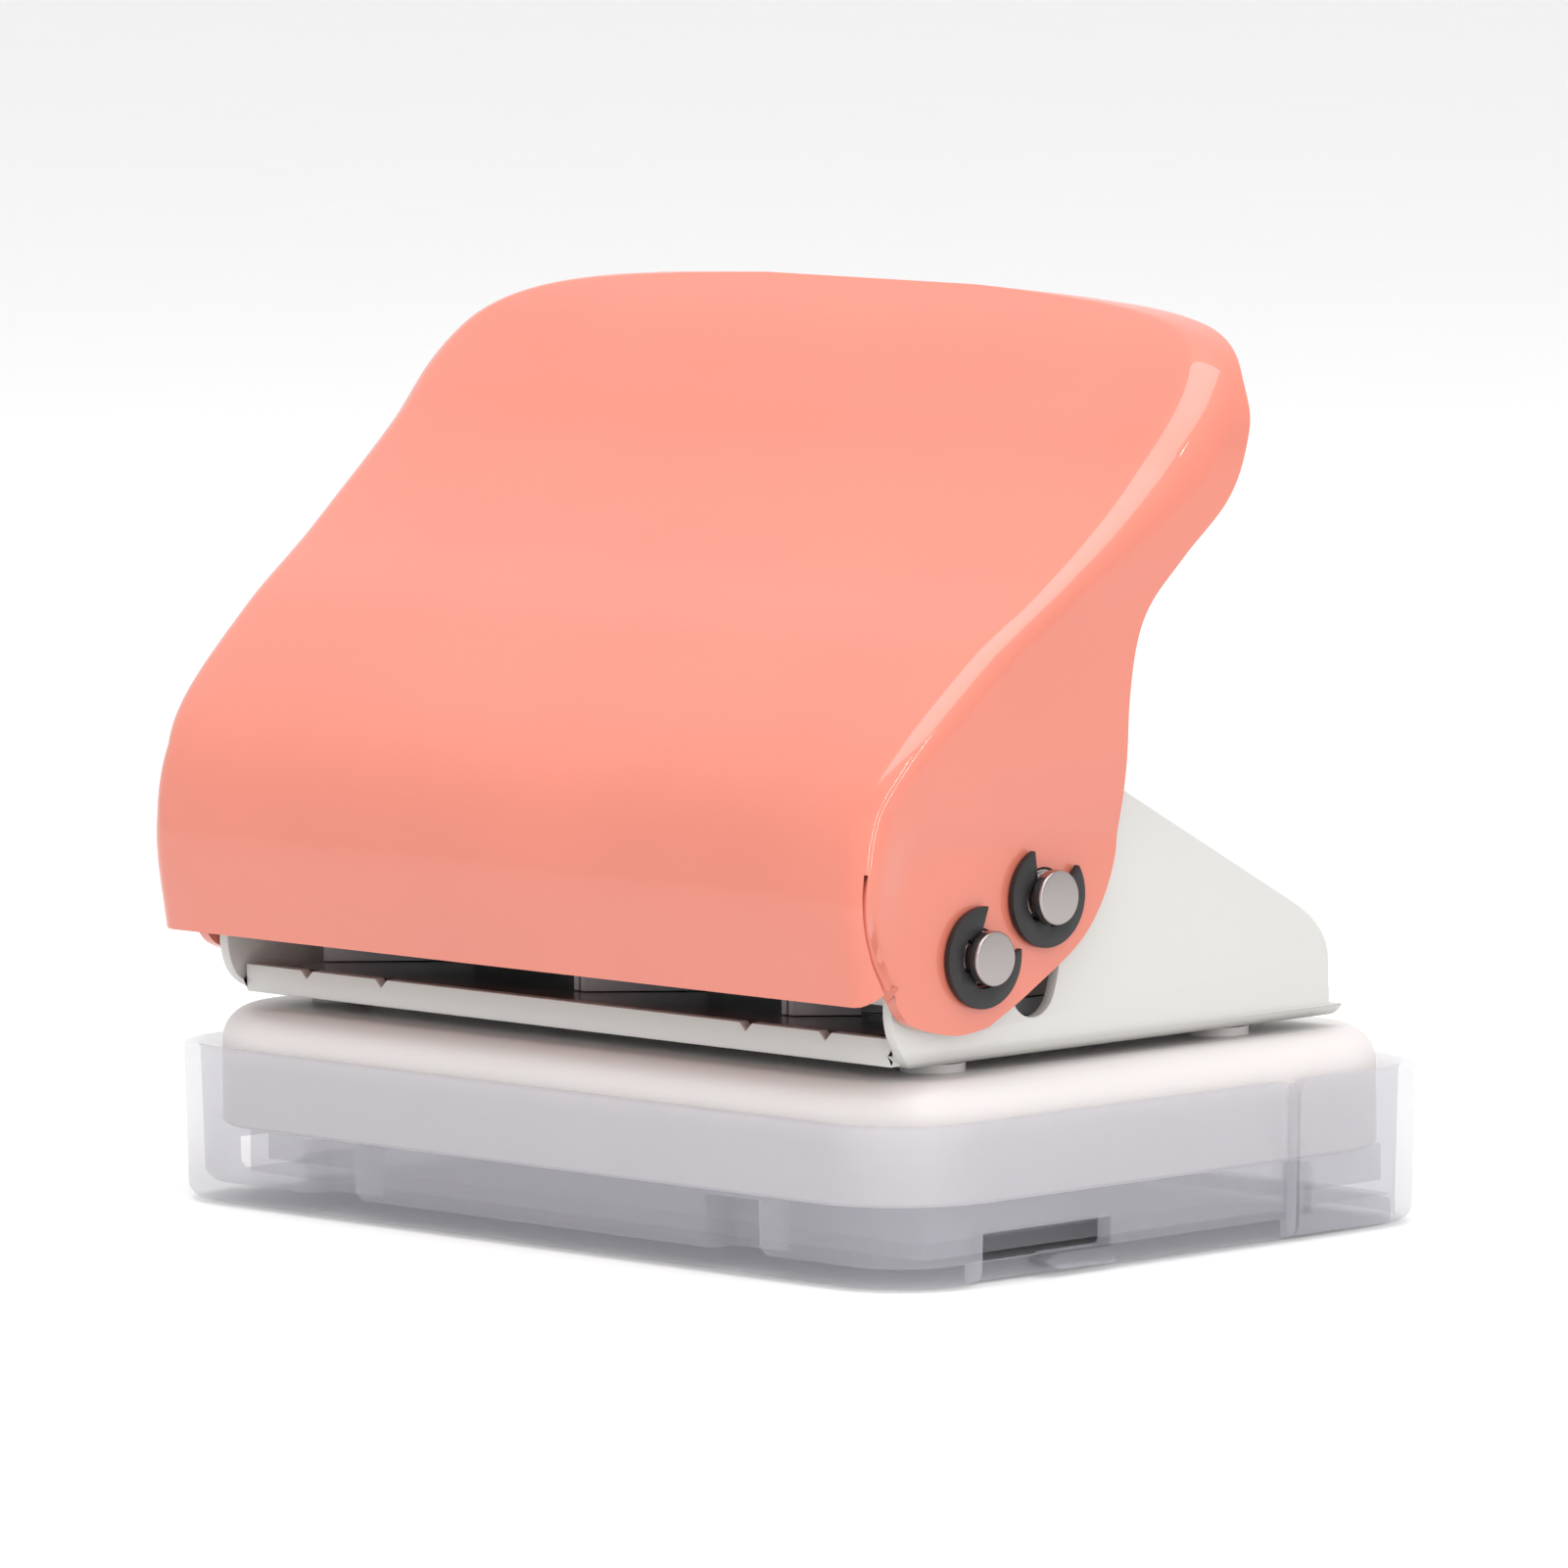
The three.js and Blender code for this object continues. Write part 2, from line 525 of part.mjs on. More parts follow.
function carrier() {
  const bar = roundedRectangle(
    -CARRIER_HALF_X, CARRIER_HALF_X, CARRIER_FRONT, CARRIER_ARM_REAR, 3);
  const tail = roundedRectangle(
    -CARRIER_TAIL_HALF_X, CARRIER_TAIL_HALF_X, CARRIER_ARM_REAR - 8, CARRIER_REAR, 3);
  const plate = joined(
    raised(bar, CARRIER_BOTTOM, CARRIER_TOP, 3), raised(tail, CARRIER_BOTTOM, CARRIER_TOP, 3));
  const lugBottom = DRIVE.z - PIN_R - 1.4;
  const lugs = [-1, 1].map((side) => {
    const outer = side * CARRIER_HALF_X;
    const inner = side * (CARRIER_HALF_X - LUG_THICK);
    const [x0, x1] = side > 0 ? [inner, outer] : [outer, inner];
    return across(roundedRectangle(LUG_FRONT, LUG_REAR, lugBottom, CARRIER_TOP, 2), x0, x1, 3);
  });
  // The drive pin runs on an arc, so its hole is long in Y.
  const slotHalf = PIN_R + 0.2;
  const slot = across(
    roundedRectangle(DRIVE.y - slotHalf, PIVOT.y + DRIVE_ARM + slotHalf,
      DRIVE.z - slotHalf, DRIVE.z + slotHalf, slotHalf - 0.05),
    -CARRIER_HALF_X - 1, CARRIER_HALF_X + 1, 4);
  const windows = [-14.6, 21.6].map((x) => raised(
    roundedRectangle(x - 3.4, x + 3.4, -17, -1, 2), CARRIER_BOTTOM - 1, CARRIER_TOP + 1, 3));
  const holes = STATIONS.map((station) => rodZ(
    station.x, cutterHeadY(station), CARRIER_BOTTOM - 1, CARRIER_TOP + 1, 1.4));
  const studs = [-SPRING_X, SPRING_X].map((x) => rodZ(
    x, SPRING_Y, CARRIER_BOTTOM - 1.6, CARRIER_BOTTOM + 0.5, 2.2));
  return joined(cut(joined(plate, ...lugs), slot, ...windows, ...holes), ...studs);
}

// ---------------------------------------------------------------- pins, clips, springs, screws

// The outer end of a pin, from the shank outwards, as (radius, x).
function pinEnd(end) {
  return [
    [PIN_R, CLIP_X - 0.1],
    [GROOVE_R, CLIP_X - 0.1],
    [GROOVE_R, CLIP_X + CLIP_THICK + 0.1],
    [PIN_R, CLIP_X + CLIP_THICK + 0.1],
    [PIN_R, end - 0.5],
    [PIN_R - 0.5, end],
    [0, end],
  ];
}

function pivotPin() {
  const right = pinEnd(PIN_END);
  const left = right.map(([r, h]) => [r, -h]).reverse();
  return laidAlongX(turned([...left, ...right]), PIVOT.y, PIVOT.z);
}

// A drive pin is short, with a collar that stays between the frame and the handle.
function drivePin(side) {
  const inner = CARRIER_HALF_X - LUG_THICK - 0.2;
  const profile = [
    [0, inner],
    [PIN_R - 0.4, inner],
    [PIN_R, inner + 0.4],
    [PIN_R, COLLAR_IN],
    [3.4, COLLAR_IN],
    [3.4, COLLAR_OUT],
    [PIN_R, COLLAR_OUT],
    ...pinEnd(PIN_END),
  ];
  const right = laidAlongX(turned(profile), DRIVE.y, DRIVE.z);
  return side > 0 ? right : right.mirror([1, 0, 0]);
}

// An E-shaped retaining clip in (y, z), its mouth opening towards the angle open.
function clip(centre, open, side) {
  const mouth = 39 * RAD;
  const inner = GROOVE_R + 0.1;
  const web = 2.75;
  const steps = 14;
  const points = [];
  for (let i = 0; i <= steps; i += 1) {
    const angle = open + mouth + ((2 * Math.PI - 2 * mouth) * i) / steps;
    points.push([CLIP_R * Math.cos(angle), CLIP_R * Math.sin(angle)]);
  }
  const notches = [-1, -1 / 3, 1 / 3, 1].map((k) => open + Math.PI + k * 110 * RAD);
  for (let i = 3; i >= 0; i -= 1) {
    const radius = i === 0 || i === 3 ? inner : web;
    const [a, b] = i === 0 || i === 3 ? [12, -12] : [20, -20];
    points.push([radius * Math.cos(notches[i] + a * RAD), radius * Math.sin(notches[i] + a * RAD)]);
    points.push([radius * Math.cos(notches[i] + b * RAD), radius * Math.sin(notches[i] + b * RAD)]);
    if (i === 2) {
      const tooth = open + Math.PI;
      points.push([inner * Math.cos(tooth + 0.18), inner * Math.sin(tooth + 0.18)]);
      points.push([inner * Math.cos(tooth - 0.18), inner * Math.sin(tooth - 0.18)]);
    }
  }
  const shape = polygon(points.map(([y, z]) => [centre.y + y, centre.z + z]));
  const [x0, x1] = side > 0 ? [CLIP_X, CLIP_X + CLIP_THICK] : [-CLIP_X - CLIP_THICK, -CLIP_X];
  return across(shape, x0, x1);
}

function washer(side) {
  const [x0, x1] = side > 0 ? [COLLAR_IN, COLLAR_OUT] : [-COLLAR_OUT, -COLLAR_IN];
  return cut(
    rodX(PIVOT.y, PIVOT.z, x0, x1, 4.2),
    rodX(PIVOT.y, PIVOT.z, x0 - 1, x1 + 1, PIN_HOLE_R));
}

// A helix as a curve, for the wire of a return spring.
class Helix extends THREE.Curve {
  constructor(x, y, z0, z1, radius, turns) {
    super();
    Object.assign(this, { x, y, z0, z1, radius, turns });
  }

  getPoint(t) {
    const angle = 2 * Math.PI * this.turns * t;
    return new THREE.Vector3(
      this.x + this.radius * Math.cos(angle),
      this.y + this.radius * Math.sin(angle),
      this.z0 + (this.z1 - this.z0) * t);
  }
}

function spring(x) {
  const low = FRAME_FLOOR + 0.1 + SPRING_WIRE / 2;
  const high = CARRIER_BOTTOM - 0.1 - SPRING_WIRE / 2;
  const wire = new THREE.Shape();
  wire.absarc(0, 0, SPRING_WIRE / 2, 0, 2 * Math.PI);
  return solid(new THREE.ExtrudeGeometry(wire, {
    curveSegments: 3,
    steps: SPRING_TURNS * 8,
    extrudePath: new Helix(x, SPRING_Y, low, high, SPRING_R, SPRING_TURNS),
  }));
}

// A stud riveted into the floor keeps each spring in place.
function springPost(x) {
  const profile = [
    [0, FRAME_BOTTOM], [1.4, FRAME_BOTTOM], [1.4, FRAME_FLOOR + 0.1], [2.3, FRAME_FLOOR + 0.1],
    [2.3, FRAME_FLOOR + 1.1], [1.8, FRAME_FLOOR + 1.1], [1.8, POST_TOP - 0.6], [1.2, POST_TOP],
    [0, POST_TOP],
  ];
  return turned(profile, 12).rotate([90, 0, 0]).translate([x, SPRING_Y, 0]);
}

// A cross-recessed screw along Z, from its tip to the seat under its head.
function screw(x, y, tip, seat, shankR, headR, headHeight) {
  const up = seat > tip ? 1 : -1;
  const shank = rodZ(x, y, Math.min(tip, seat), Math.max(tip, seat), shankR, 8);
  const top = seat + up * headHeight;
  const head = rodZ(x, y, Math.min(seat, top), Math.max(seat, top), headR, 10);
  const depth = headHeight * 0.5;
  const [z0, z1] = up > 0 ? [top - depth, top + 1] : [top - 1, top + depth];
  const bar = 0.28;
  const arm = headR * 0.6;
  return cut(
    joined(shank, head),
    box(x - arm, x + arm, y - bar, y + bar, z0, z1),
    box(x - bar, x + bar, y - arm, y + arm, z0, z1));
}

// ---------------------------------------------------------------- handle

// The handle's side view in (y, z): the front skin from its foot to the nose, then the
// cheek's rear edge back down.
const SKIN_LINE = [
  [-37.3, HANDLE_SKIN_FOOT], [-38.5, 35.5], [-35.8, 45], [-25.2, 55.3], [-15.2, 62.5],
  [-6.2, 70], [0, 76.5], [5.4, 82.1], [10.8, 86.5],
];
const CHEEK_LINE = [
  [10.7, 83.9], [7.8, 79.8], [6.8, 75], [4.4, 69], [-0.6, 63.9], [-4.6, 58.6], [-5.6, 51],
  [-4.8, 42], [-5.2, 36], [-8.8, 30], [-15.9, 25.4], [-21.3, 22.5], [-25.4, 22.1], [-30.3, 23.2],
  [-34.2, 25.6],
];

const smooth = (points, count) => new THREE.SplineCurve(
  points.map(([a, b]) => new THREE.Vector2(a, b))).getPoints(count);

function skinOutside() {
  return smooth(SKIN_LINE, 18);
}

function handleSide() {
  const rear = smooth(CHEEK_LINE, 24);
  return new THREE.Shape([...skinOutside(), ...rear]);
}

// A line moved to its left (positive) or to its right (negative) by a distance.
function offset(line, distance) {
  return line.map((point, i) => {
    const before = line[Math.max(i - 1, 0)];
    const after = line[Math.min(i + 1, line.length - 1)];
    const run = after.clone().sub(before).normalize();
    return new THREE.Vector2(point.x - run.y * distance, point.y + run.x * distance);
  });
}

// The side view between two depths behind the outer skin.
function skinBand(from, to) {
  const near = offset(skinOutside(), -from);
  const far = offset(skinOutside(), -to);
  return new THREE.Shape([...near, ...far.reverse()]);
}

// The hollow behind the skin, open to the rear and below.
function hollowSide() {
  const line = offset(skinOutside(), -SHEET);
  const below = new THREE.Vector2(line[0].x, line[0].y - 10);
  return new THREE.Shape([below, ...line, new THREE.Vector2(60, line.at(-1).y),
    new THREE.Vector2(60, below.y)]);
}

// The handle seen from the front in (x, z): straight at the pins, then wider up to the
// grip, with round shoulders.
const FLARE_LINE = [
  [HANDLE_HALF_X, 38.8], [48, 43], [49.1, 48], [50.3, 58], [52, 66], [53, 72.5], [52.4, 77.5],
  [49.2, 81.7], [42.5, 84.3], [31, 85.7], [14, 86.6],
];
const FOOT_CORNER = 4;

function mirroredOutline(right) {
  const left = right.map((p) => new THREE.Vector2(-p.x, p.y)).reverse();
  return new THREE.Shape([...right, ...left]);
}

function handleFront(inset) {
  const flare = offset(smooth(FLARE_LINE, 19), inset);
  return mirroredOutline([new THREE.Vector2(HANDLE_HALF_X - inset, 0), ...flare]);
}

// The skin alone is as wide at its foot as higher up, with round lower corners.
function skinFront() {
  const flare = smooth(FLARE_LINE, 19).filter((p) => p.x > SKIN_HALF_X || p.y > 60);
  const corner = new THREE.Path();
  corner.absarc(SKIN_HALF_X - FOOT_CORNER, HANDLE_SKIN_FOOT + FOOT_CORNER, FOOT_CORNER,
    -Math.PI / 2, 0);
  return mirroredOutline([...corner.getPoints(4), ...flare]);
}

const SLIT_TOP = 38.4;
const SLIT_WIDTH = 0.4;

function handleShell() {
  const wide = 60;
  const outer = across(handleSide(), -wide, wide, 1).intersect(along(handleFront(0), -50, 30, 1));
  const inner = across(hollowSide(), -wide, wide, 1)
    .intersect(along(handleFront(SHEET), -50, 70, 1));
  const skin = across(skinBand(0, SHEET), -wide, wide, 1)
    .intersect(along(skinFront(), -50, 30, 1));
  const lowBand = across(skinBand(-1, SHEET + SLIT_WIDTH), -wide, wide, 1)
    .intersect(box(-wide, wide, -50, 0, 0, SLIT_TOP));
  const holes = [PIVOT, DRIVE].map(({ y, z }) => rodX(y, z, -wide, wide, PIN_HOLE_R));
  return cut(joined(cut(outer, inner, lowBand), skin), ...holes);
}

// ---------------------------------------------------------------- assembly

const assembly = new THREE.Group();
assembly.name = 'corner_rounder';

function place(name, body, material) {
  const mesh = new THREE.Mesh(geometryOf(body), material);
  mesh.name = name;
  assembly.add(mesh);
}

const SIDES = [['left', -1], ['right', 1]];

place('chip_tray', chipTray(), FROSTED);
place('chip_drawer', chipDrawer(), FROSTED);
place('base_cover', baseCover(), WHITE_PLASTIC);
place('frame', frame(), WHITE_PAINT);
place('die_plate', diePlate(), STEEL);
place('cutter_guide', cutterGuide(), STEEL);
place('cutter_carrier', carrier(), STEEL);
place('handle_shell', handleShell(), CORAL);
place('pivot_pin', pivotPin(), STEEL);

for (const station of STATIONS) {
  place(`fence_${station.name}`, fence(station), GREY_PLASTIC);
  place(`cutter_${station.name}`, cutter(station), TOOL_STEEL);
  place(`cutter_screw_${station.name}`,
    screw(station.x, cutterHeadY(station), CUTTER_HEAD_BOTTOM + 0.4, CARRIER_TOP + 0.1, 1.3, 2.4,
      1.5), BLACK_STEEL);
}

for (const [word, side] of SIDES) {
  place(`drive_pin_${word}`, drivePin(side), STEEL);
  place(`pivot_clip_${word}`, clip(PIVOT, 47 * RAD, side), BLACK_STEEL);
  place(`drive_clip_${word}`, clip(DRIVE, 67 * RAD, side), BLACK_STEEL);
  place(`pivot_washer_${word}`, washer(side), NYLON);
  place(`return_spring_${word}`, spring(side * SPRING_X), STEEL);
  place(`spring_post_${word}`, springPost(side * SPRING_X), STEEL);
}

BASE_SCREWS.forEach(([x, y], i) => {
  place(`base_screw_${i + 1}`, screw(x, y, FRAME_FLOOR + 0.2, BASE_TOP - 3.5, 1.5, 2.9, 1.8),
    BLACK_STEEL);
});

GUIDE_SCREWS.forEach(([x, y], i) => {
  place(`guide_screw_${i + 1}`, screw(x, y, FRAME_BOTTOM + 0.05, GUIDE_TOP + 0.1, 1.2, 2.1, 1.3),
    BLACK_STEEL);
});

export default assembly;
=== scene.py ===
"""The looks of the corner rounder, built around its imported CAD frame.

Shapes are drawn in millimetres in the part's own frame (+X right, +Y to the rear, +Z up,
origin under the middle of the tray) and are scaled to metres when their mesh is made.
"""
import bisect
import json
import math

import bmesh
import bpy
from mathutils import Matrix, Vector

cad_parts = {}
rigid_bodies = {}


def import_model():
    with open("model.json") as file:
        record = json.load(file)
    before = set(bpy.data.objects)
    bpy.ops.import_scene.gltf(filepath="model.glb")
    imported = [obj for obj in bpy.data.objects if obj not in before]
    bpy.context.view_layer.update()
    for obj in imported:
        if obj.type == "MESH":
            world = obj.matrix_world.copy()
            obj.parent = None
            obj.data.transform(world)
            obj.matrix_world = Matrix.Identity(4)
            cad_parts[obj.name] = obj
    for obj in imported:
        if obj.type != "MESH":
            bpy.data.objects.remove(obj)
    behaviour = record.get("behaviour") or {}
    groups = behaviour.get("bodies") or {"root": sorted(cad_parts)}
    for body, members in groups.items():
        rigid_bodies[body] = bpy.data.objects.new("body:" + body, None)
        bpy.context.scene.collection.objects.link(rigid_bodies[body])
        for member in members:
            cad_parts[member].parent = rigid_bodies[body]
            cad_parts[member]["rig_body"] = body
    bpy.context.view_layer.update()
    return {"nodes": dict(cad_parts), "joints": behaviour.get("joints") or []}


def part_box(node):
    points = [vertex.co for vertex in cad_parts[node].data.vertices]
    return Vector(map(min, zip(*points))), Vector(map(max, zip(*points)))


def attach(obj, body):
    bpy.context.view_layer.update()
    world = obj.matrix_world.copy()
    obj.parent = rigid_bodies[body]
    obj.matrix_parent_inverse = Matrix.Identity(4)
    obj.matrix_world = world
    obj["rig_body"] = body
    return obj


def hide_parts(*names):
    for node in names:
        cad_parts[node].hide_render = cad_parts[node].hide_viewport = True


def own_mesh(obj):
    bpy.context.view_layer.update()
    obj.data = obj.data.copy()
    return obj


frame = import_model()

MM = 0.001


def node_box(node):
    """Lowest and highest corner of a CAD node, in millimetres."""
    low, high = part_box(node)
    return low / MM, high / MM


def joint(name):
    return next(j for j in frame["joints"] if j["name"] == name)


# ------------------------------------------------------------------ dimensions

SHEET = 1.2

TRAY_LOW, TRAY_HIGH = node_box("chip_tray")
TRAY_X = TRAY_HIGH.x
TRAY_Y = -TRAY_LOW.y
TRAY_TOP = TRAY_HIGH.z
TRAY_WALL = 1.6
TRAY_CORNER = 9.0
TRAY_DRAFT = 0.35
SPLIT_Y = 15.0
SPLIT_GAP = 0.4
SPLIT_EDGE = 1.6
NOTCH_FRONT, NOTCH_REAR, NOTCH_TOP = -25.8, -9.4, 4.65
TONGUE_TIP = -17.8
PILLAR_X, PILLAR_HALF, PILLAR_REAR = 27, 3.5, -30.6
PAN_HALF_X, PAN_BOTTOM, PAN_TOP, PAN_WALL = 45.0, 1.9, 6.6, 1.2

BASE_LOW, BASE_HIGH = node_box("base_cover")
BASE_PAD = 0.8
BASE_TOP = BASE_HIGH.z - BASE_PAD
BASE_WALL = 1.6
BASE_CORNER = 11.0
BASE_EDGE = 3.4
BASE_INNER_EDGE = 2.4
BASE_OPENING = (-36, 36, -22, 18)
BASE_PAD_R = 3
BASE_HOLE_R = 1.65
BASE_CUT = (12, 20)     # heights that a tool through the base's top spans

FRAME_LOW, FRAME_HIGH = node_box("frame")
FRAME_X = FRAME_HIGH.x
FRAME_BEND = 2.2
FRAME_FLOOR = FRAME_LOW.z + SHEET
FRAME_REAR = FRAME_HIGH.y
FRAME_LIP_Y = -30.0
CHEEK_FRONT = FRAME_LOW.y
LIP_TOP = 22.0
LIP_TICKS = (-34.7, -24.4, 24.4, 34.7)
TICK_HALF, TICK_DEPTH = 0.9, 0.8
WINDOW_GROW = 0.7       # opening for offcuts, past the cutter above it

PIVOT = Vector(joint("handle_hinge")["pos_m"]) / MM
DRIVE_LOW, DRIVE_HIGH = node_box("drive_pin_right")
DRIVE = Vector((0, (DRIVE_LOW.y + DRIVE_HIGH.y) / 2, (DRIVE_LOW.z + DRIVE_HIGH.z) / 2))
DRIVE_ARM = (DRIVE - PIVOT).length
DRIVE_REST = math.atan2(DRIVE.z - PIVOT.z, DRIVE.y - PIVOT.y)
SWING = math.radians(joint("handle_hinge")["range_deg"][1])

PIN_FACE = DRIVE_HIGH.x - 0.02
PIN_R = 2.5
PIN_HOLE_R = PIN_R + 0.15
PIN_EDGE = 0.3
GROOVE_R = 2.0
NEAR_AXIS = 0.02        # radius at which a turned profile starts and ends
CLIP_X = node_box("pivot_clip_right")[0].x
CLIP_THICK = 0.7
CLIP_R = 4.65
CLIP_EDGE = 0.12
COLLAR_IN, COLLAR_OUT = (corner.x for corner in node_box("pivot_washer_right"))
COLLAR_R = 3.4
WASHER_R = 4.2
WASHER_EDGE = 0.15
BEYOND = 60             # longer than half of the part, for tools that cut right through

HANDLE_X = 46.9         # the cheeks at the pins
SKIN_X = 48.0           # the front skin at its foot
SKIN_TOP = 50           # below this height the skin keeps the breadth of its foot

SCREW_HEADS = {"base": 1.8, "guide": 1.3, "cutter": 1.5}

STATIONS = ("large", "medium", "small")
SIDES = (("left", -1), ("right", 1))

# ------------------------------------------------------------------ plane curves


def spline(points, count):
    """count + 1 points on a smooth curve through the given ones, evenly spaced."""
    pts = [Vector(p) for p in points]
    dense = []
    for i in range(len(pts) - 1):
        p0, p1, p2, p3 = (pts[max(0, min(len(pts) - 1, i + k))] for k in (-1, 0, 1, 2))
        for k in range(24):
            t = k / 24
            v0, v1 = (p2 - p0) / 2, (p3 - p1) / 2
            dense.append(
                (2 * p1 - 2 * p2 + v0 + v1) * t ** 3
                + (3 * p2 - 3 * p1 - 2 * v0 - v1) * t ** 2
                + v0 * t + p1)
    dense.append(pts[-1])
    length = [0.0]
    for a, b in zip(dense, dense[1:]):
        length.append(length[-1] + (b - a).length)
    out = []
    for k in range(count + 1):
        want = length[-1] * k / count
        i = min(max(bisect.bisect_right(length, want) - 1, 0), len(dense) - 2)
        share = (want - length[i]) / max(length[i + 1] - length[i], 1e-9)
        out.append(dense[i].lerp(dense[i + 1], share))
    return out


def arc(cx, cy, r, a0, a1, steps):
    """Points on an arc from angle a0 to a1, in radians."""
    return [
        (cx + r * math.cos(a0 + (a1 - a0) * k / steps),
         cy + r * math.sin(a0 + (a1 - a0) * k / steps))
        for k in range(steps + 1)]


def rounded_rectangle(x0, x1, y0, y1, r, steps=12):
    quarter = math.pi / 2
    return (
        arc(x1 - r, y0 + r, r, -quarter, 0, steps)
        + arc(x1 - r, y1 - r, r, 0, quarter, steps)
        + arc(x0 + r, y1 - r, r, quarter, 2 * quarter, steps)
        + arc(x0 + r, y0 + r, r, 2 * quarter, 3 * quarter, steps))


def bent(start, control, end, steps=12):
    """Points on the quadratic curve from start to end."""
    a, b, c = Vector(start), Vector(control), Vector(end)
    return [tuple(a.lerp(b, k / steps).lerp(b.lerp(c, k / steps), k / steps))
            for k in range(steps + 1)]


# ------------------------------------------------------------------ meshes


def make(name, vertices, faces):
    """A new object from vertices in millimetres, its faces turned outwards."""
    mesh = bpy.data.meshes.new(name)
    mesh.from_pydata([Vector(v) * MM for v in vertices], [], faces)
    obj = bpy.data.objects.new(name, mesh)
    bpy.context.scene.collection.objects.link(obj)
    body = bmesh.new()
    body.from_mesh(mesh)
    bmesh.ops.remove_doubles(body, verts=body.verts, dist=1e-7)
    bmesh.ops.recalc_face_normals(body, faces=body.faces)
    body.to_mesh(mesh)
    body.free()
    return obj


def prism(name, outline, axis, start, end):
    """A plane outline swept along an axis. It is drawn in (x, y), (y, z) or (x, z)."""
    place = {
        "z": lambda a, b, h: (a, b, h),
        "x": lambda a, b, h: (h, a, b),
        "y": lambda a, b, h: (a, h, b),
    }[axis]
    n = len(outline)
    vertices = [place(a, b, h) for h in (start, end) for a, b in outline]
    sides = [(i, (i + 1) % n, n + (i + 1) % n, n + i) for i in range(n)]
    return make(name, vertices, sides + [tuple(range(n)), tuple(range(n, 2 * n))])


def block(name, x0, x1, y0, y1, z0, z1):
    return prism(name, [(x0, y0), (x1, y0), (x1, y1), (x0, y1)], "z", z0, z1)


def ring_stack(name, rings):
    """Rings with equal numbers of points, joined in order and capped at both ends."""
    n = len(rings[0])
    vertices = [v for ring in rings for v in ring]
    faces = [
        (r * n + i, r * n + (i + 1) % n, (r + 1) * n + (i + 1) % n, (r + 1) * n + i)
        for r in range(len(rings) - 1) for i in range(n)]
    last = (len(rings) - 1) * n
    caps = [tuple(range(n)), tuple(range(last, last + n))]
    return make(name, vertices, faces + caps)


def turned(name, profile, axis, centre, sides=48):
    """A turned body; its profile is (radius, height), starting and ending on the axis."""
    rings = []
    for radius, height in profile:
        ring = []
        for k in range(sides):
            a = 2 * math.pi * k / sides
            u, v = radius * math.cos(a), radius * math.sin(a)
            ring.append((height, u, v) if axis == "x" else (u, v, height))
        rings.append([Vector(p) + Vector(centre) for p in ring])
    return ring_stack(name, rings)


def softened(profile, r, steps=4):
    """A profile with each inner corner replaced by a small arc of about radius r."""
    out = [profile[0]]
    for before, here, after in zip(profile, profile[1:], profile[2:]):
        h = Vector(here)
        a = h + (Vector(before) - h).normalized() * min(r, (Vector(before) - h).length / 2.1)
        b = h + (Vector(after) - h).normalized() * min(r, (Vector(after) - h).length / 2.1)
        out += bent(a, h, b, steps)
    return out + [profile[-1]]


def apply_modifiers(obj):
    graph = bpy.context.evaluated_depsgraph_get()
    mesh = bpy.data.meshes.new_from_object(obj.evaluated_get(graph))
    obj.modifiers.clear()
    obj.data = mesh
    return obj


def combine(obj, tools, operation):
    """Joins or cuts obj with tools, which are used up."""
    for tool in tools:
        modifier = obj.modifiers.new("combine", "BOOLEAN")
        modifier.operation = operation
        modifier.solver = "EXACT"
        modifier.object = tool
        apply_modifiers(obj)
        bpy.data.objects.remove(tool)
    return obj


def cut(obj, *tools):
    return combine(obj, tools, "DIFFERENCE")


def join(obj, *tools):
    return combine(obj, tools, "UNION")


def keep(obj, *tools):
    return combine(obj, tools, "INTERSECT")


EDGE_SEGMENTS = 2
SHARP = 35              # degrees past which an edge is rounded, or shaded as an edge


def soften(obj, width):
    """Rounds the sharp edges of a finished piece."""
    modifier = obj.modifiers.new("edges", "BEVEL")
    modifier.width = width * MM
    modifier.segments = EDGE_SEGMENTS
    modifier.limit_method = "ANGLE"
    modifier.angle_limit = math.radians(SHARP)
    modifier.use_clamp_overlap = False
    return apply_modifiers(obj)


def smooth(obj, angle=SHARP):
    obj.data.polygons.foreach_set("use_smooth", [True] * len(obj.data.polygons))
    obj.data.set_sharp_from_angle(angle=math.radians(angle))
    return obj


def rod(name, axis, u, v, start, end, r, sides=40):
    """A round bar along an axis, with its centre at (u, v) in the plane of a prism."""
    outline = arc(u, v, r, 0, 2 * math.pi, sides)[:-1]
    return prism(name, outline, axis, start, end)


# ------------------------------------------------------------------ materials


DRIFT_SIZE = 26         # millimetres over which a colour drifts
ROUGH_SPREAD = 0.06


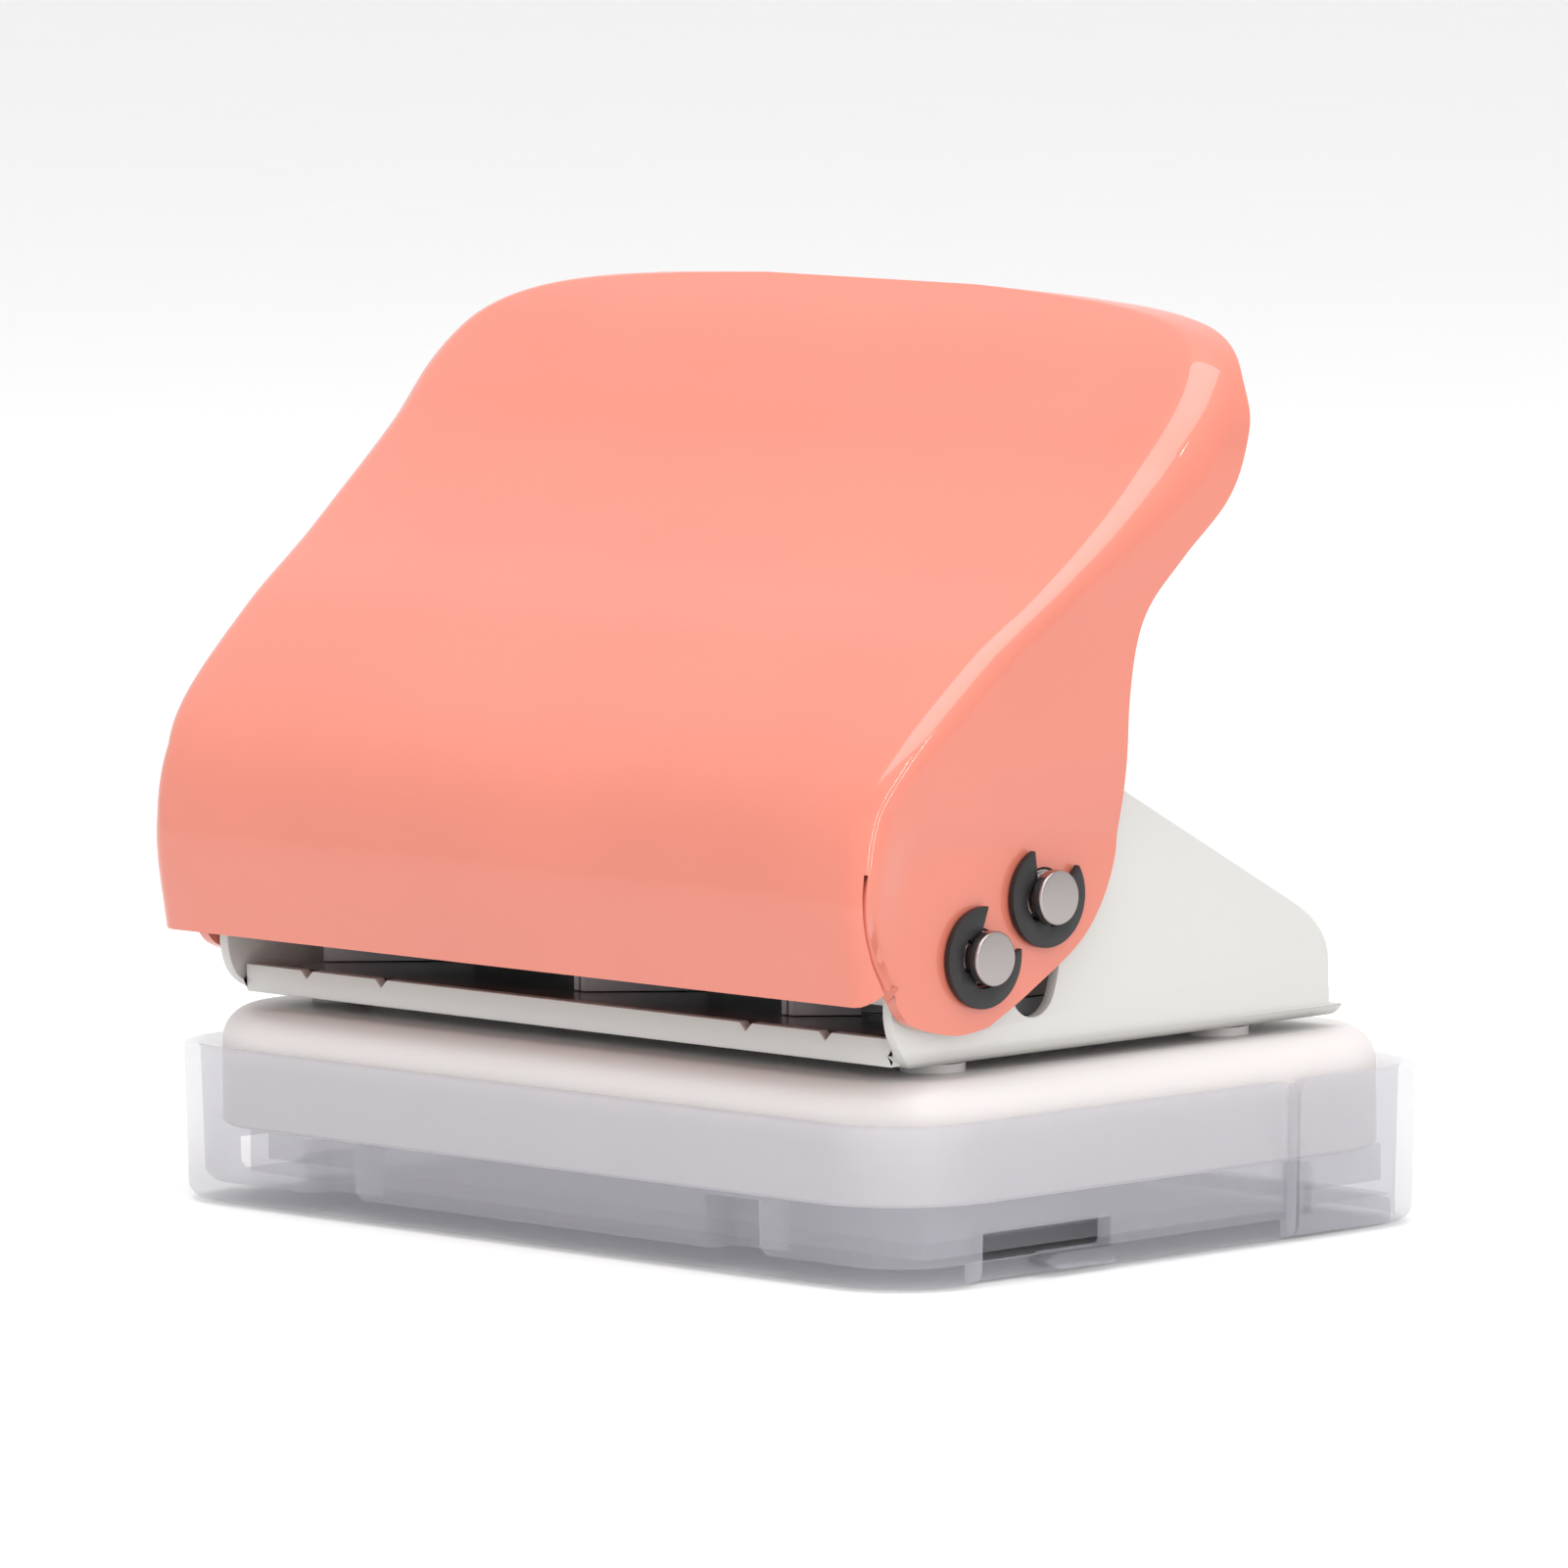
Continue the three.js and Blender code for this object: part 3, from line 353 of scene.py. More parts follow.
def material(name, color, roughness, grain, variation=0.04, bump=0.1, stretch=(1, 1, 1),
             **settings):
    """A procedural finish: broad colour drift, fine grain in roughness and relief.

    grain is the size of the relief in millimetres, and stretch draws it out for a brushed
    or turned surface.
    """
    mat = bpy.data.materials.new(name)
    mat.use_nodes = True
    nodes, links = mat.node_tree.nodes, mat.node_tree.links
    shader = nodes["Principled BSDF"]
    for key, value in settings.items():
        name_of_input = "IOR" if key == "ior" else key.replace("_", " ").title()
        shader.inputs[name_of_input].default_value = value

    place = nodes.new("ShaderNodeTexCoord")
    scale = nodes.new("ShaderNodeMapping")
    scale.inputs["Scale"].default_value = stretch
    links.new(place.outputs["Object"], scale.inputs["Vector"])

    def noise(size, detail, source):
        node = nodes.new("ShaderNodeTexNoise")
        node.inputs["Scale"].default_value = 1 / (size * MM)
        node.inputs["Detail"].default_value = detail
        links.new(source, node.inputs["Vector"])
        return node

    drift = noise(DRIFT_SIZE, 3, place.outputs["Object"])
    fine = noise(grain, 4, scale.outputs["Vector"])

    tint = nodes.new("ShaderNodeMix")
    tint.data_type = "RGBA"
    tint.inputs["A"].default_value = (*[c * (1 - variation) for c in color], 1)
    tint.inputs["B"].default_value = (*[min(1, c * (1 + variation)) for c in color], 1)
    links.new(drift.outputs["Fac"], tint.inputs["Factor"])
    links.new(tint.outputs["Result"], shader.inputs["Base Color"])

    spread = nodes.new("ShaderNodeMapRange")
    spread.inputs["To Min"].default_value = roughness - ROUGH_SPREAD
    spread.inputs["To Max"].default_value = roughness + ROUGH_SPREAD
    links.new(fine.outputs["Fac"], spread.inputs["Value"])
    links.new(spread.outputs["Result"], shader.inputs["Roughness"])

    relief = nodes.new("ShaderNodeBump")
    relief.inputs["Strength"].default_value = bump
    relief.inputs["Distance"].default_value = grain * MM * 0.1
    links.new(fine.outputs["Fac"], relief.inputs["Height"])
    links.new(relief.outputs["Normal"], shader.inputs["Normal"])
    return mat


FINISHES = {
    "coral_paint": material(
        "coral_paint", (0.585, 0.158, 0.104), 0.5, 0.9, 0.08, 0.05,
        coat_weight=0.8, coat_roughness=0.02),
    "white_paint": material(
        "white_paint", (0.53, 0.525, 0.505), 0.36, 0.7, 0.02, 0.06,
        coat_weight=0.25, coat_roughness=0.2),
    "white_plastic": material(
        "white_plastic", (0.62, 0.59, 0.58), 0.38, 0.5, 0.02, 0.08,
        subsurface_weight=0.15, subsurface_scale=0.002),
    "frosted_plastic": material(
        "frosted_plastic", (0.50, 0.495, 0.54), 0.4, 0.35, 0.03, 0.12,
        alpha=0.3, ior=1.4),
    "grey_plastic": material("grey_plastic", (0.42, 0.44, 0.47), 0.5, 0.5, 0.04, 0.15),
    "steel": material(
        "steel", (0.36, 0.33, 0.32), 0.24, 0.5, 0.06, 0.12, (1, 6, 6), metallic=1.0),
    "tool_steel": material(
        "tool_steel", (0.36, 0.37, 0.39), 0.3, 0.4, 0.08, 0.2, (1, 1, 0.15), metallic=1.0),
    "black_steel": material(
        "black_steel", (0.022, 0.021, 0.022), 0.42, 0.3, 0.2, 0.3, metallic=0.35),
    "nylon": material("nylon", (0.72, 0.72, 0.69), 0.55, 0.4, 0.03, 0.1),
}


def body_of(node):
    return frame["nodes"][node]["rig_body"]


def dress(obj, slot):
    obj.data.materials.clear()
    obj.data.materials.append(FINISHES[slot])


def piece(obj, body, slot, *nodes):
    """A finished piece that stands for some CAD nodes."""
    dress(obj, slot)
    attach(obj, body)
    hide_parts(*nodes)
    return obj


# ------------------------------------------------------------------ handle

SKIN_LINE = [
    (-37.3, 25.7), (-38.4, 35.5), (-35.8, 45), (-25.2, 55.3), (-15.2, 62.5),
    (-6.2, 70), (0, 76.5), (5.4, 82.1), (10.7, 86.45)]
LOBE_LINE = [(-37.3, 25.7), (-34, 25.3), (-30.3, 23.3), (-25.4, 22.2), (-21.3, 22.6)]
REAR_LINE = [
    (-21.3, 22.6), (-15.9, 25.4), (-8.8, 30), (-5.2, 36), (-4.8, 42), (-5.6, 51),
    (-4.6, 58.6), (-0.6, 63.9), (4.4, 69), (6.8, 75), (7.8, 79.8), (10.6, 83.8)]
NOSE_LINE = [(10.7, 86.45), (11, 85.2), (10.6, 83.8)]
FLARE_LINE = [
    (HANDLE_X, 38.8), (48, 43), (49.1, 48), (50.3, 58), (51.9, 66), (52.7, 72.5),
    (52.1, 77.5), (48.9, 81.7), (42.3, 84.3), (31, 85.7), (14, 86.5)]
HANDLE_BEND = 3.0
CREST_BEND = 5.5
CREST_START, CREST_END = 60, 80     # heights between which the bend grows wider

# The slit that parts the skin's foot from each cheek, as (height, depth behind the skin).
SLIT_LINE = [(25.0, 2.8), (29.2, 1.9), (32.2, 1.6), (35.6, 1.45), (39.0, 1.5), (90.0, 1.5)]
SLIT_TOP = 38.6
SLIT_HALF = 0.22
JOINED_FROM = 29        # height from which the cheek comes out toward the skin
JOINED_DEPTH = 6        # how far behind the slit it does so
FOOT_CORNER = 2.2
FOOT_FADE = 13          # height over which the lift of the corners dies out

BEND_SHARE = 0.55       # most of a row's depth that its bend takes
NARROW_SHARE = 0.3      # most of it that the part before the slit takes
STEP_SHARE = 0.9
CLOSE_DEPTH = 4         # depth behind the slit over which columns lie close together
CROWDING = 1.6          # draws the columns before the slit toward the skin's face

FLARE_CURVE = spline(FLARE_LINE, 400)
FLARE_HEIGHTS = [p.y for p in FLARE_CURVE]


def half_width(z):
    """Half of the handle's width at a height."""
    if z <= FLARE_HEIGHTS[0]:
        return HANDLE_X
    i = min(bisect.bisect_left(FLARE_HEIGHTS, z), len(FLARE_CURVE) - 1)
    a, b = FLARE_CURVE[i - 1], FLARE_CURVE[i]
    return a.x + (b.x - a.x) * (z - a.y) / max(b.y - a.y, 1e-6)


def eased(t):
    t = min(max(t, 0), 1)
    return t * t * (3 - 2 * t)


def slit_depth(z):
    """How far the slit lies behind the skin's face at a height."""
    z = max(z, SLIT_LINE[0][0])
    pairs = zip(SLIT_LINE, SLIT_LINE[1:])
    (z0, d0), (z1, d1) = next(pair for pair in pairs if z <= pair[1][0])
    return d0 + (d1 - d0) * (z - z0) / (z1 - z0)


def half_breadth(z, behind):
    """Half the handle's breadth at a height, some way behind the slit.

    In front of the slit the skin keeps its own breadth. Behind it the cheek is drawn in,
    and comes out again toward the slit's upper end, where the two are one sheet.
    """
    cheek = half_width(z)
    skin = max(cheek, SKIN_X) if z < SKIN_TOP else cheek
    if behind < 0:
        return skin
    rise = eased((z - JOINED_FROM) / (SLIT_TOP - JOINED_FROM))
    joined = rise * (1 - eased(behind / JOINED_DEPTH))
    return cheek + (skin - cheek) * joined


def rounded_foot(x, y, z, from_edge):
    """A point near the foot, raised where a lower corner of the sheet is rounded."""
    out = min(max(FOOT_CORNER - from_edge, 0), FOOT_CORNER)
    lift = FOOT_CORNER - math.sqrt(FOOT_CORNER ** 2 - out ** 2)
    return x, y, z + lift * max(1 - (z - SKIN_LINE[0][1]) / FOOT_FADE, 0)


def handle_sheet():
    """The skin, its two bends and both cheeks as one surface, open along the two slits.

    Rows run from the foot to the nose. In a row, the section crosses the skin, turns
    through the bend and follows the cheek to its rear edge.
    """
    rows, fine = 120, 400
    skin_columns, front_columns, bend_columns, cheek_columns = 22, 7, 8, 26
    skin, rear = spline(SKIN_LINE, rows), spline(REAR_LINE, rows)
    lobe, nose = spline(LOBE_LINE, fine), spline(NOSE_LINE, fine)

    def point(row, s):
        """A place in the cheek's plane, s of the way from the skin to the rear edge."""
        t = row / rows
        low, high = lobe[round(s * fine)], nose[round(s * fine)]
        corners = (
            lobe[0] * (1 - s) * (1 - t) + lobe[-1] * s * (1 - t)
            + nose[0] * (1 - s) * t + nose[-1] * s * t)
        return skin[row] * (1 - s) + rear[row] * s + low * (1 - t) + high * t - corners

    vertices = []
    for row in range(rows + 1):
        y, z = skin[row]
        depth = (rear[row] - skin[row]).length
        growth = eased((z - CREST_START) / (CREST_END - CREST_START))
        r = min(HANDLE_BEND + (CREST_BEND - HANDLE_BEND) * growth, BEND_SHARE * depth)
        gap = min(slit_depth(z), NARROW_SHARE * depth)
        start = gap + SLIT_HALF
        if z < SLIT_TOP:
            # Wider by most of the step, so that the slit still shows past the skin's edge.
            start += STEP_SHARE * (half_breadth(z, -gap) - half_breadth(z, 0))
        turn_end = start + min(CLOSE_DEPTH, NARROW_SHARE * depth)
        places = [(gap - SLIT_HALF) * (k / front_columns) ** CROWDING
                  for k in range(front_columns + 1)]
        places += [start + (turn_end - start) * k / bend_columns for k in range(bend_columns)]
        places += [turn_end + (depth - turn_end) * k / cheek_columns
                   for k in range(cheek_columns + 1)]
        side = []
        for d in places:
            p = point(row, d / depth)
            turn = 1 - min(d / r, 1)
            bend = r * (1 - math.sqrt(1 - turn * turn))
            x = half_breadth(p.y, d - gap) - bend
            from_edge = SKIN_X - x if d < gap else d - start
            side.append(rounded_foot(x, p.x, p.y, from_edge))
        flat = half_breadth(z, -gap) - r
        middle = [(flat * (2 * k / skin_columns - 1), y, z) for k in range(1, skin_columns)]
        vertices += [(-x, y, z) for x, y, z in reversed(side)] + middle + side

    n = len(vertices) // (rows + 1)
    behind_slit = bend_columns + cheek_columns
    # The right slit opens one column nearer the front than the left one's mirror image.
    slit_columns = {behind_slit, n - 3 - behind_slit}
    faces = [
        (row * n + i, row * n + i + 1, (row + 1) * n + i + 1, (row + 1) * n + i)
        for row in range(rows) for i in range(n - 1)
        if i not in slit_columns or skin[row + 1].y > SLIT_TOP]
    obj = make("handle", vertices, faces)
    # An open sheet has no inside, so its skin is turned to face the front.
    skin_face = obj.data.polygons[-(n // 2)]
    if skin_face.normal.y > 0:
        obj.data.flip_normals()
    return obj


def handle():
    obj = handle_sheet()
    thick = obj.modifiers.new("sheet", "SOLIDIFY")
    thick.thickness = SHEET * MM
    thick.offset = -1
    apply_modifiers(obj)
    cut(obj, *[rod("hole", "x", p.y, p.z, -BEYOND, BEYOND, PIN_HOLE_R) for p in (PIVOT, DRIVE)])
    smooth(obj, 38)
    piece(obj, "handle", "coral_paint", "handle_shell")


# ------------------------------------------------------------------ pins, clips, washers


def pin_profile():
    """The outer end of a pin, as (radius, x), from its shank outwards."""
    return [
        (PIN_R, CLIP_X - 0.1), (GROOVE_R, CLIP_X - 0.1),
        (GROOVE_R, CLIP_X + CLIP_THICK + 0.1), (PIN_R, CLIP_X + CLIP_THICK + 0.1),
        (PIN_R, PIN_FACE), (NEAR_AXIS, PIN_FACE)]


def pins():
    right = pin_profile()
    left = [(r, -x) for r, x in reversed(right)]
    pivot = turned("pivot", softened(left + right, PIN_EDGE), "x", (0, PIVOT.y, PIVOT.z))
    piece(smooth(pivot), body_of("pivot_pin"), "steel", "pivot_pin")
    inner = DRIVE_LOW.x
    for word, side in SIDES:
        profile = [
            (NEAR_AXIS, inner), (PIN_R, inner), (PIN_R, COLLAR_IN), (COLLAR_R, COLLAR_IN),
            (COLLAR_R, COLLAR_OUT), (PIN_R, COLLAR_OUT), *right]
        profile = [(r, side * x) for r, x in softened(profile, PIN_EDGE)]
        node = f"drive_pin_{word}"
        pin = turned(f"drive_stud_{word}", profile, "x", (0, DRIVE.y, DRIVE.z))
        piece(smooth(pin), body_of(node), "steel", node)


def clip_outline(centre, opening):
    """An E-shaped clip: a round back with three teeth, open at one side."""
    mouth, lobe = math.radians(39), math.radians(110)
    inner, web = GROOVE_R + 0.1, 2.75
    tooth, side_gap, back_gap = 0.2, 0.45, 0.38
    back = opening + math.pi
    points = arc(0, 0, CLIP_R, opening + mouth, opening + 2 * math.pi - mouth, 40)
    points += arc(0, 0, inner, back + lobe + tooth, back + lobe - tooth, 4)
    points += arc(0, 0, web, back + lobe - side_gap, back + back_gap, 12)
    points += arc(0, 0, inner, back + tooth, back - tooth, 4)
    points += arc(0, 0, web, back - back_gap, back - lobe + side_gap, 12)
    points += arc(0, 0, inner, back - lobe + tooth, back - lobe - tooth, 4)
    return [(centre.y + y, centre.z + z) for y, z in points]


def clips_and_washers():
    for word, side in SIDES:
        for kind, centre, degrees in (("pivot", PIVOT, 45), ("drive", DRIVE, 73)):
            node = f"{kind}_clip_{word}"
            ends = sorted((side * CLIP_X, side * (CLIP_X + CLIP_THICK)))
            clip = prism(f"{kind}_ring_{word}", clip_outline(centre, math.radians(degrees)),
                         "x", *ends)
            piece(smooth(soften(clip, CLIP_EDGE)), body_of(node), "black_steel", node)
        node = f"pivot_washer_{word}"
        ends = sorted((side * COLLAR_IN, side * COLLAR_OUT))
        washer = rod(f"washer_{word}", "x", PIVOT.y, PIVOT.z, *ends, WASHER_R)
        cut(washer, rod("hole", "x", PIVOT.y, PIVOT.z, -BEYOND, BEYOND, PIN_HOLE_R))
        piece(smooth(soften(washer, WASHER_EDGE)), body_of(node), "nylon", node)


# ------------------------------------------------------------------ frame


def channel(height):
    """Section of the bent sheet in (x, z): the floor and both cheeks."""
    x, z, r = FRAME_X, FRAME_LOW.z, FRAME_BEND
    ri = r - SHEET
    quarter = math.pi / 2
    return (
        arc(x - r, z + r, r, -quarter, 0, 12) + [(x, height), (x - SHEET, height)]
        + arc(x - r, z + r, ri, 0, -quarter, 10)
        + arc(-x + r, z + r, ri, -quarter, -2 * quarter, 10)
        + [(-x + SHEET, height), (-x, height)]
        + arc(-x + r, z + r, r, 2 * quarter, 3 * quarter, 12))


def cheek_outline():
    """Side view of a cheek in (y, z), with the floor's edge."""
    return (
        [(FRAME_LIP_Y + 2.5, FRAME_LOW.z), (FRAME_REAR, FRAME_LOW.z), (FRAME_REAR, FRAME_FLOOR)]
        + bent((26.2, FRAME_FLOOR), (25.2, FRAME_FLOOR), (25.2, 21.4))
        + bent((25.2, 24.6), (25.2, 27.8), (20.4, 30.4))
        + bent((-2.5, 42.8), (-6.4, 44.8), (-10.6, 44))
        + bent((-19.5, 41.5), (CHEEK_FRONT, 38), (CHEEK_FRONT, 30), 16)
        + bent((CHEEK_FRONT, 24.2), (CHEEK_FRONT + 0.4, 20), (FRAME_LIP_Y + 2.5, FRAME_LOW.z),
               16)[:-1])


def drive_slot():
    """The slot that the drive pin sweeps, in (y, z)."""
    half = PIN_R + 0.25
    high, low = DRIVE_REST + math.radians(2), DRIVE_REST - SWING - math.radians(3)

    def end(angle, start):
        y = PIVOT.y + DRIVE_ARM * math.cos(angle)
        z = PIVOT.z + DRIVE_ARM * math.sin(angle)
        return arc(y, z, half, start, start + math.pi, 16)

    return (
        arc(PIVOT.y, PIVOT.z, DRIVE_ARM + half, low, high, 24) + end(high, high)[1:]
        + arc(PIVOT.y, PIVOT.z, DRIVE_ARM - half, high, low, 24)[1:]
        + end(low, low + math.pi)[1:-1])


def chip_windows():
    """Tools that open the floor for the offcuts under each cutter."""
    tools = []
    for station in STATIONS:
        low, high = node_box(f"cutter_{station}")
        tools.append(prism("window", rounded_rectangle(
            low.x - WINDOW_GROW, high.x + WINDOW_GROW,
            low.y - WINDOW_GROW, high.y + WINDOW_GROW, 1, 4),
            "z", FRAME_LOW.z - 1, FRAME_FLOOR + 1))
    return tools


def frame_piece():
    obj = prism("frame_sheet", channel(50), "y", CHEEK_FRONT - 1, FRAME_REAR + 1)
    keep(obj, prism("outline", cheek_outline(), "x", -FRAME_X - 1, FRAME_X + 1))
    bite = 0.3          # how far the lips reach into the bends and the floor
    half = FRAME_X - FRAME_BEND + bite
    low = FRAME_LOW.z + bite
    join(obj,
         block("lip", -half, half, FRAME_LIP_Y, FRAME_LIP_Y + SHEET, low, LIP_TOP),
         block("lip", -half, half, FRAME_REAR - SHEET, FRAME_REAR, low, LIP_TOP - 0.2))
    ticks = [
        prism("tick", [(x - TICK_HALF, LIP_TOP + 0.1), (x, LIP_TOP - TICK_DEPTH),
                       (x + TICK_HALF, LIP_TOP + 0.1)],
              "y", FRAME_LIP_Y - 1, FRAME_LIP_Y + SHEET + 1)
        for x in LIP_TICKS]
    cut(obj, *ticks, *chip_windows())
    cut(obj, rod("hole", "x", PIVOT.y, PIVOT.z, -BEYOND, BEYOND, PIN_HOLE_R))
    cut(obj, prism("slot", drive_slot(), "x", -BEYOND, BEYOND))
    smooth(soften(obj, 0.14))
    piece(obj, "base", "white_paint", "frame")


# ------------------------------------------------------------------ base cover


def base_ring(inset, z):
    x, y = BASE_HIGH.x - inset, BASE_HIGH.y - inset
    r = max(BASE_CORNER - inset, 1.5)
    return [(px, py, z) for px, py in rounded_rectangle(-x, x, -y, y, r, 14)]


def base_cover():
    quarter = math.pi / 2
    edge = BASE_INNER_EDGE
    rings = [base_ring(BASE_WALL + edge, BASE_TOP - BASE_WALL)]
    for k in range(1, 6):
        a = quarter * k / 5
        rings.append(base_ring(BASE_WALL + edge - edge * math.sin(a),
                               BASE_TOP - BASE_WALL - edge * (1 - math.cos(a))))
    rings += [base_ring(BASE_WALL, BASE_LOW.z + 0.3), base_ring(BASE_WALL - 0.3, BASE_LOW.z),
              base_ring(0.3, BASE_LOW.z), base_ring(0, BASE_LOW.z + 0.3)]
    for k in range(13):
        a = quarter * k / 12
        rings.append(base_ring(BASE_EDGE * (1 - math.cos(a)),
                               BASE_TOP - BASE_EDGE * (1 - math.sin(a))))
    obj = ring_stack("cover", rings)
    cut(obj, prism("opening", rounded_rectangle(*BASE_OPENING, 3), "z", *BASE_CUT))
    for i in range(1, 5):
        low, high = node_box(f"base_screw_{i}")
        x, y = (low.x + high.x) / 2, (low.y + high.y) / 2
        join(obj, rod("pad", "z", x, y, BASE_TOP - BASE_EDGE, BASE_HIGH.z, BASE_PAD_R))
        cut(obj, rod("hole", "z", x, y, *BASE_CUT, BASE_HOLE_R))
    piece(smooth(obj, 30), "base", "white_plastic", "base_cover")


# ------------------------------------------------------------------ tray and drawer


def tray_ring(inset, z):
    x, y = TRAY_X - inset, TRAY_Y - inset
    return [(px, py, z) for px, py in rounded_rectangle(
        -x, x, -y, y, max(TRAY_CORNER - inset, 1), 14)]


def tray_stack(name, floor):
    """The tray's walls all round, with a floor or with an open bottom."""
    rim = TRAY_TOP - 0.5
    foot = 1.4
    outer = [tray_ring(0.5, TRAY_TOP), tray_ring(0.15, TRAY_TOP - 0.15), tray_ring(0, rim)]
    for k in range(7):
        a = math.pi / 2 * k / 6
        outer.append(tray_ring(
            TRAY_DRAFT + foot * (1 - math.cos(a)), foot * (1 - math.sin(a))))
    inner = [tray_ring(TRAY_WALL - 0.4, TRAY_TOP), tray_ring(TRAY_WALL, rim),
             tray_ring(TRAY_WALL + TRAY_DRAFT, TRAY_WALL + 0.8),
             tray_ring(TRAY_WALL + TRAY_DRAFT + 0.8, TRAY_WALL)]
    obj = ring_stack(name, list(reversed(inner)) + outer)
    if not floor:
        inset = TRAY_WALL + TRAY_DRAFT
        ring = [(x, y) for x, y, _ in tray_ring(inset, 0)]
        cut(obj, prism("inside", ring, "z", -1, TRAY_TOP))
    return obj


def side_of_split(y, direction):
    """A tool for all that lies before (-1) or behind (1) the split; its top edge is round."""
    r, top = SPLIT_EDGE, TRAY_TOP + 0.01
    turn = arc(y + direction * r, top - r, r,
               math.pi if direction > 0 else 0, math.pi / 2, 8)
    far = y + direction * 100
    outline = [(y, -1), *turn, (far, top), (far, -1)]
    return prism("side", outline, "x", -BEYOND, BEYOND)


def notch_and_tongue(obj):
    tip, root, low, high = TONGUE_TIP, NOTCH_REAR + 0.5, 0.4, 1.9
    outline = [(tip, 1.3), (tip + 2, low), (root, low), (root, high), (tip + 1.6, high)]
    for _, side in SIDES:
        inner, outer = sorted((side * (TRAY_X - TRAY_WALL - 1), side * (TRAY_X + 1)))
        cut(obj, block("notch", inner, outer, NOTCH_FRONT, NOTCH_REAR, -1, NOTCH_TOP))
        inner, outer = sorted((side * (TRAY_X - 2.8), side * (TRAY_X - TRAY_DRAFT)))
        join(obj, prism("tongue", outline, "x", inner, outer))


def chip_tray():
    obj = keep(tray_stack("tray", True), side_of_split(SPLIT_Y, -1))
    floor_edge = [(x, y) for x, y, _ in tray_ring(TRAY_WALL + TRAY_DRAFT + 0.4, 0)]
    floor = keep(prism("floor", floor_edge, "z", 0, TRAY_WALL),
                 block("rear", -BEYOND, BEYOND, SPLIT_Y - 1, BEYOND, -1, 5))
    join(obj, floor)
    notch_and_tongue(obj)
    for _, side in SIDES:
        x = side * PILLAR_X
        front = -TRAY_Y + TRAY_WALL - 0.4
        join(obj, block("pillar", x - PILLAR_HALF, x + PILLAR_HALF, front, PILLAR_REAR,
                        TRAY_WALL - 0.4, BASE_LOW.z - 0.3))
    piece(smooth(obj, 30), "base", "frosted_plastic", "chip_tray")


def chip_drawer():
    start = SPLIT_Y + SPLIT_GAP
    obj = keep(tray_stack("drawer", False), side_of_split(start, 1),
               block("above", -BEYOND, BEYOND, 0, BEYOND, 0.15, 20))
    low = node_box("chip_drawer")[0]
    rear = TRAY_Y - TRAY_WALL
    half = PAN_HALF_X
    pan = block("pan", -half, half, low.y, rear + 0.4, PAN_BOTTOM, PAN_TOP)
    cut(pan, block("hollow", -half + PAN_WALL, half - PAN_WALL, low.y + PAN_WALL,
                   rear - PAN_WALL, PAN_BOTTOM + PAN_WALL, PAN_TOP + 1.4))
    join(obj, pan)
    for _, side in SIDES:
        inner, outer = sorted((side * (half - 0.6), side * (TRAY_X - TRAY_WALL - 0.1)))
        join(obj, block("wing", inner, outer, start + 2.2, start + 3.4, PAN_BOTTOM, PAN_TOP))
    piece(smooth(obj, 30), "drawer", "frosted_plastic", "chip_drawer")


# ------------------------------------------------------------------ springs and screws


def return_springs():
    turns, wire, sides, flat_share = 5, 0.4, 12, 0.14
    steps = turns * 40
    for word, _ in SIDES:
        node = f"return_spring_{word}"
        low, high = node_box(node)
        centre = (low + high) / 2
        radius = (high.x - low.x) / 2 - wire
        z0, z1 = low.z + wire, high.z - wire
        rings = []
        for k in range(steps + 1):
            t = k / steps
            a = 2 * math.pi * turns * t
            # The end turns lie flat, and the turns between them rise.
            rise = min(1, max(0, (t - flat_share) / (1 - 2 * flat_share)))
            out = Vector((math.cos(a), math.sin(a), 0))
            at = Vector((centre.x, centre.y, z0 + (z1 - z0) * rise)) + out * radius
            rings.append([at + out * wire * math.cos(b) + Vector((0, 0, wire * math.sin(b)))
                          for b in (2 * math.pi * i / sides for i in range(sides))])
        obj = smooth(ring_stack(f"spring_{word}", rings), 60)
        piece(obj, "base", "steel", node)
        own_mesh(obj)


def screws():
    """Low domed heads with a cross recess, on plain shanks."""
    names = [f"{kind}_{i}" for kind in ("base_screw", "guide_screw") for i in range(1, 5)]
    for node in names + [f"cutter_screw_{station}" for station in STATIONS]:
        low, high = node_box(node)
        x, y = (low.x + high.x) / 2, (low.y + high.y) / 2
        head_r = (high.x - low.x) / 2
        kind = node.split("_")[0]
        under, head = kind == "base", SCREW_HEADS[kind]
        shank = head_r * 0.54
        length, rim = high.z - low.z, head_r * 0.98
        profile = [(NEAR_AXIS, 0), (head_r * 0.55, 0.02), (rim, head * 0.4), (rim, head),
                   (shank, head), (shank, length), (NEAR_AXIS, length)]
        profile = [(r, low.z + h if under else high.z - h) for r, h in softened(profile, 0.25)]
        obj = turned(f"fixing_{node}", profile, "z", (x, y, 0), 32)
        top = (low.z - 1, low.z + 0.8) if under else (high.z - 0.8, high.z + 1)
        arm, bar = head_r * 0.55, head_r * 0.13
        cut(obj, block("recess", x - arm, x + arm, y - bar, y + bar, *top),
            block("recess", x - bar, x + bar, y - arm, y + arm, *top))
        piece(smooth(obj), body_of(node), "black_steel", node)


